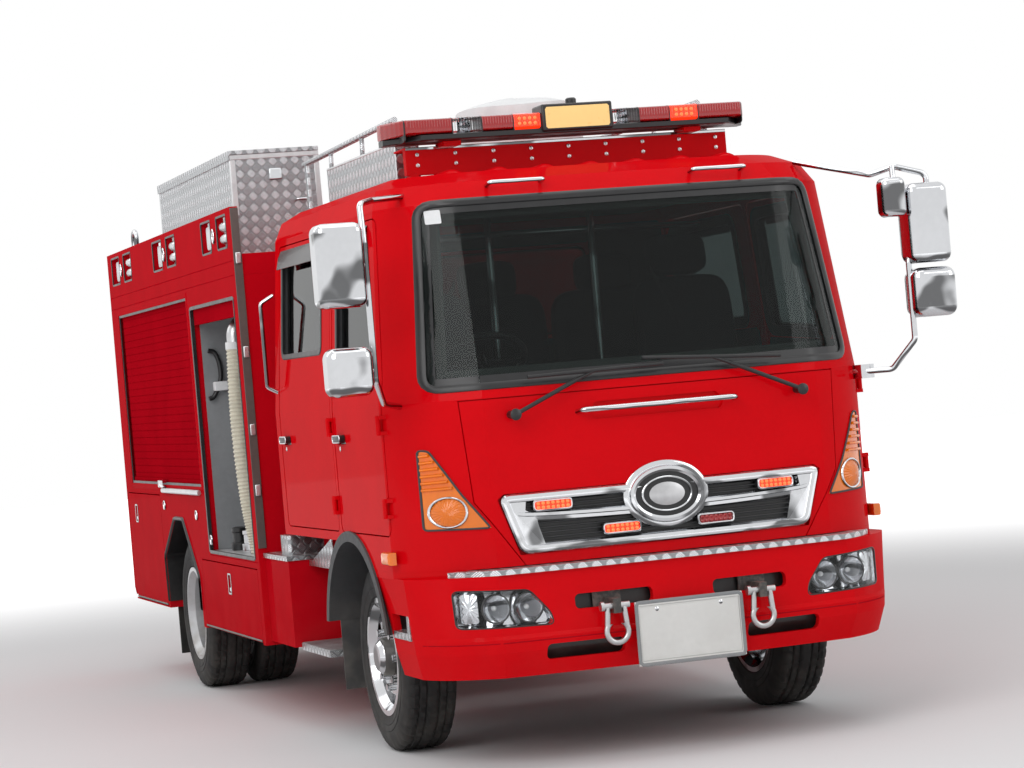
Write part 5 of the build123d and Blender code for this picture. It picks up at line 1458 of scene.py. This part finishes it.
@dataclass
class Deck(Assembly):
    """Edges, latch and pull of the tread plate box, fence trims, deck pipe and the light bar's beam."""

    box: tuple = (-950.0, -470.0, 3764.0, 5863.0, 2336.0, 2894.0)
    angle: float = 26.0
    proud: float = 1.4
    pull: tuple = ((-610, 3760, 2640), (-610, 3735, 2640), (-560, 3735, 2640), (-560, 3760, 2640))
    pipe: tuple = (
        (-1095, 5944, 2560), (-1095, 5946, 2640), (-1095, 5995, 2664), (-1095, 6044, 2640),
        (-1095, 6046, 2560),
    )
    bolt: tuple = ((1012, 9), (1006, 9), (1004, 1))

    def build(self) -> None:
        """Angles along the box's edges, then its fittings, then the rest of the deck."""
        fence = [slab(728, 744, 1212, 2500, 2678, 2690), slab(728, 744, 1208, 1222, 2520, 2690)]
        bolts = [lathe(self.bolt, (x, 0, z), 1, 6) for x in np.linspace(-700, 700, 9) for z in (2562, 2608)]
        self.add("box_edges", self.edges(), ALLOY, bevel=0.002)
        self.add("box_latch", slab(-747, -679, 3751, 3763, 2752, 2812), CHROME, bevel=0.005)
        self.add("fence_trims", fence, ALLOY, bevel=0.003, both=True)
        self.add("fence_front_plates", slab(636, 742, 1206, 1211.8, 2522, 2688), TREAD, both=True)
        self.add("beam_strip", slab(-750, 750, 1006.5, 1011.8, 2628, 2641), CHROME, bevel=0.002)
        self.add_all((
            ("box_pull", tube(curve(self.pull, 16), 0.006), CHROME),
            ("deck_pipe", tube(curve(self.pipe, 40), 0.014, 16, (1, 0, 0)), CHROME),
            ("beam_bolts", bolts, STEEL),
        ))

    def edges(self) -> list:
        """Upright angles at the box's corners and angles round its top, none of which overlap."""
        x0, x1, s0, s1, z0, z1 = self.box
        w, out, ends = self.angle, self.proud, self.proud + 0.2
        made = []
        for x in (x0, x1 - w):
            for s in (s0 - ends, s1 - w + ends):
                made.append(slab(x - out, x + w + out, s, s + w, z0 + 240, z1 - w - 1))
            made.append(slab(x - out, x + w + out, s0 + w, s1 - w, z1 - w, z1))
        for s in (s0 - ends, s1 - w + ends):
            made.append(slab(x0 - out, x1 + out, s, s + w - ends, z1 - w, z1))
        return made


@dataclass
class Cover(Assembly):
    """White cloth cover over the monitor on the cab roof, with the cord in its hem."""

    centre: tuple = (-45.0, 1610.0)
    top: float = 2884.0
    shoulder: float = 0.45
    radius: float = 236.0
    fall: float = 300.0

    def build(self) -> None:
        """Draped surface: its radius grows downwards with folds, and its top follows the monitor."""
        t = np.linspace(0.02, 1, 44)[:, None]
        a = angles(150)[None, :]
        down = np.clip((t - self.shoulder) / (1 - self.shoulder), 0, 1)
        lobes = 1 + 0.10 * np.cos(2 * a + 0.6) + 0.04 * np.sin(3 * a)
        fold = 0.055 * np.cos(7 * a + 2.0 * t) + 0.03 * np.cos(13 * a - 3 * t)
        spread = np.where(t < self.shoulder, t / self.shoulder, 1.0 + 0.24 * down)
        r = self.radius * spread * lobes * (1 + fold * np.clip((t - 0.3) / 0.7, 0, 1))
        wave = 9 * np.cos(3 * a + 5 * t) * np.clip(1 - t, 0, 1)
        z = self.top - 40 * np.clip(t / self.shoulder, 0, 1) ** 2.2 - self.fall * down**1.1 + wave
        x, s = self.centre[0] + r * np.cos(a), self.centre[1] + 1.28 * r * np.sin(a)
        patch = grid(at(x, s, z), round_v=True)
        cover = self.add("monitor_cover", patch, WHITE, replaces=("monitor",))
        self.add("monitor_cover_cord", tube(at(x[-1], s[-1], z[-1] + 4), 0.005, 8), LINING)


@dataclass
class Fittings(Assembly):
    """Mirror panes, plate frame, step treads, bumper slots, tail lamps, shutter ribs and wiper caps.

    mirrors holds the two x, the two heights and the station of each mirror's back.
    """

    mirrors: tuple = (
        (1235, 1405, 1955, 2280, 300), (1235, 1415, 1722, 1915, 290),
        (-1380, -1200, 1950, 2275, 300), (-1370, -1200, 1590, 1770, 295),
    )
    air_slots: tuple = ((250, 620, 430, 530), (120, 480, 622, 720))
    tail_lamps: tuple = (650.0, 2230.0)
    wiper_cap: tuple = ((106, 24), (98, 24), (92, 12), (91, 1))

    def build(self) -> None:
        """Front fittings, then the sides' and the tail's."""
        self.front()
        self.tail()
        treads = [slab(704, 1088, s, s + 9, 420.2, 424) for s in np.arange(1830, 2380, 34.0)]
        backs = [pad(BUMPER, box_outline(*box, 16, 50), -58.0) for box in self.air_slots]
        self.add_all((
            ("step_back_plates", slab(705.5, 708.5, 1835, 2376, 425, 800), TREAD),
            ("side_marker_face", pad(CAB_SIDE, box_outline(486, 592, 873, 911, 8), 36.4, 2.0), AMBER),
            ("air_slot_backs", backs, BLACK),
            ("step_ribs", treads, ALLOY),
        ), both=True)

    def front(self) -> None:
        """Mirrors, the bumper's seam, the blank plate in its frame and the wipers' caps."""
        panes, rims = [], []
        for x0, x1, z0, z1, s in self.mirrors:
            edge = box_outline(x0 + 8, x1 - 8, z0 + 8, z1 - 8, 26)
            panes.append(pad(Wall(s, 1.0), grown(edge, -6), 0.6))
            rims.append(bead(Wall(s, 1.0), edge, lens_section(6, -3, 3)))
        seam = strip(BUMPER, (-1040, 1040), (532, 532), lens_section(2.6, -1, 1.0), 80)
        plate = box_outline(-230, 230, 389, 643, 10, 80)
        bolts = [pad(Wall(-30.2), oval(x, 612, 9, 9, 20), 0.5, 3.0) for x in (-140, 140)]
        self.add_all((
            ("mirror_panes", panes, CHROME), ("mirror_rims", rims, BLACK),
            ("bumper_seam", seam, SHUTTER_RED),
            ("plate_frame", bead(Wall(-34.0), plate, lens_section(8, -4, 3)), GREY),
            ("plate_bolts", bolts, CHROME),
            ("blank_number_plate", pad(Wall(-30.4), box_outline(-205, 205, 414, 618, 8), 0.2), PLATE),
            ("wiper_caps", [lathe(self.wiper_cap, (x, 0, 1452), 1, 24) for x in (-630, 640)], BLACK),
        ))

    def tail(self) -> None:
        """Rims and indicators of the tail lamps, and the ribs of the tail shutter."""
        rims = [bead(Wall(6769, 1.0), box_outline(1044, 1126, z + 4, z + 226, 12), lens_section(5, -3, 3))
                for z in self.tail_lamps]
        indicators = [pad(Wall(6770, 1.0), box_outline(1052, 1118, z + 150, z + 216, 8, 40), 0.4, 3.0)
                      for z in self.tail_lamps]
        ribs = [strip(Wall(6724.0, 1.0), (-580, 580), (z, z), lens_section(3, 0, 2), 6)
                for z in np.arange(960, 2090, 42.0)]
        self.add_all((("tail_lamp_rims", rims, BLACK), ("tail_indicators", indicators, AMBER)), both=True)
        self.add("tail_shutter_ribs", ribs, SHUTTER_RED)


# Studio


@dataclass
class Studio:
    """Plain pale floor, soft lamps and the camera at the photograph's view."""

    camera_at: tuple = (-4.088, -14.448, 1.609)
    azimuth: float = -17.155
    elevation: float = 0.156
    roll: float = -4.877
    lens: float = 100.9
    aim: tuple = (0.0, -1.0, 1.2)
    lamps: tuple = (
        ((-7.0, -9.0, 7.0), 7.0, 420.0), ((8.0, -8.0, 6.0), 6.0, 180.0),
        ((-6.0, 6.0, 8.0), 8.0, 200.0), ((0.0, -2.0, 9.5), 9.0, 220.0),
    )

    def build(self) -> None:
        """Makes the floor, the world, the lamps and the camera."""
        self.floor()
        self.world()
        for place, size, power in self.lamps:
            self.lamp(place, size, power)
        self.camera()

    def floor(self) -> None:
        """Pale floor that keeps the shadow; further out it glows white, so that it has no edge."""
        floor = make_object("floor", grid(at(*np.meshgrid([-40000.0, 40000.0], [-40000.0, 40000.0]), 0.0)))
        finish = bpy.data.materials.new("studio_floor")
        finish.use_nodes = True
        g = Graph(finish.node_tree)
        x, y, _ = g.split(g.place())
        away = g.math("SQRT", g.math("ADD", g.math("MULTIPLY", x, x), g.math("MULTIPLY", y, y)))
        glow = g.mix(g.span(away, 5.5, 15.0, 0.0, 1.0), (0, 0, 0, 1), (1, 1, 1, 1))
        values = (("Base Color", (0.82, 0.82, 0.83, 1)), ("Roughness", 0.9), ("Emission Strength", 1.0),
                  ("Emission Color", glow))
        for key, value in values:
            g.link(value, finish.node_tree.nodes["Principled BSDF"].inputs[key])
        floor.data.materials.append(finish)

    def world(self) -> None:
        """Even soft light, and white for camera, mirror and glass rays."""
        world = bpy.data.worlds.new("studio")
        bpy.context.scene.world = world
        world.use_nodes = True
        world.node_tree.nodes.clear()
        g = Graph(world.node_tree)
        rays = g.node("ShaderNodeLightPath").outputs
        seen = g.math("MAXIMUM", rays["Is Glossy Ray"], rays["Is Transmission Ray"])
        back = g.node("ShaderNodeBackground")
        back.inputs["Color"].default_value = (1, 1, 1, 1)
        shown = g.math("MAXIMUM", rays["Is Camera Ray"], seen)
        g.link(g.mix(shown, 0.42, 1.0, "FLOAT"), back.inputs["Strength"])
        g.link(back.outputs[0], g.node("ShaderNodeOutputWorld").inputs["Surface"])

    def lamp(self, place: tuple, size: float, power: float) -> None:
        """Square area lamp that looks at the vehicle's middle.

        Args:
            place: its point in metres.
            size: its side in metres.
            power: in watts.
        """
        light = bpy.data.lights.new("soft", "AREA")
        light.energy, light.size = power, size
        self.stand("soft", light, np.array(place) - np.array(self.aim), 0.0, place)

    def camera(self) -> None:
        """Camera from the fit: azimuth and elevation give its direction, and roll turns it."""
        a, e, roll = np.radians([self.azimuth, self.elevation, self.roll])
        back = np.array([np.sin(a) * np.cos(e), -np.cos(a) * np.cos(e), np.sin(e)])
        view = bpy.data.cameras.new("view")
        view.lens, view.sensor_width, view.clip_end = self.lens, 36.0, 200.0
        bpy.context.scene.camera = self.stand("view", view, back, roll, self.camera_at)

    def stand(self, name: str, data: bpy.types.ID, back: Array, roll: float,
              place: tuple) -> bpy.types.Object:
        """Object for a lamp or the camera, level before its roll.

        Args:
            name: its name.
            data: the lamp or the camera.
            back: direction away from what it looks at.
            roll: turn about that direction, in radians.
            place: its point.

        Returns:
            The object.
        """
        back = back / np.linalg.norm(back)
        right = np.cross([0, 0, 1], back)
        right /= np.linalg.norm(right)
        up = np.cross(back, right)
        matrix = np.eye(4)
        matrix[:3, 0] = right * np.cos(roll) + up * np.sin(roll)
        matrix[:3, 1] = up * np.cos(roll) - right * np.sin(roll)
        matrix[:3, 2], matrix[:3, 3] = back, place
        item = bpy.data.objects.new(name, data)
        bpy.context.scene.collection.objects.link(item)
        item.matrix_world = Matrix(matrix.tolist())
        return item


def main() -> None:
    """Builds the studio and the sub-assemblies in order."""
    bpy.context.scene.view_settings.view_transform = "Standard"
    Studio().build()
    dress_nodes()
    for group in (
        Grille(), Windscreen(), TurnLamps(), Headlamps(), LightBar(), Interior(), Wheels(), Doors(),
        BodySide(), Deck(), Cover(), Fittings(),
    ):
        group.build()
        LOG.info("%s: %d pieces", type(group).__name__, group.count)


if __name__ == "__main__":
    main()
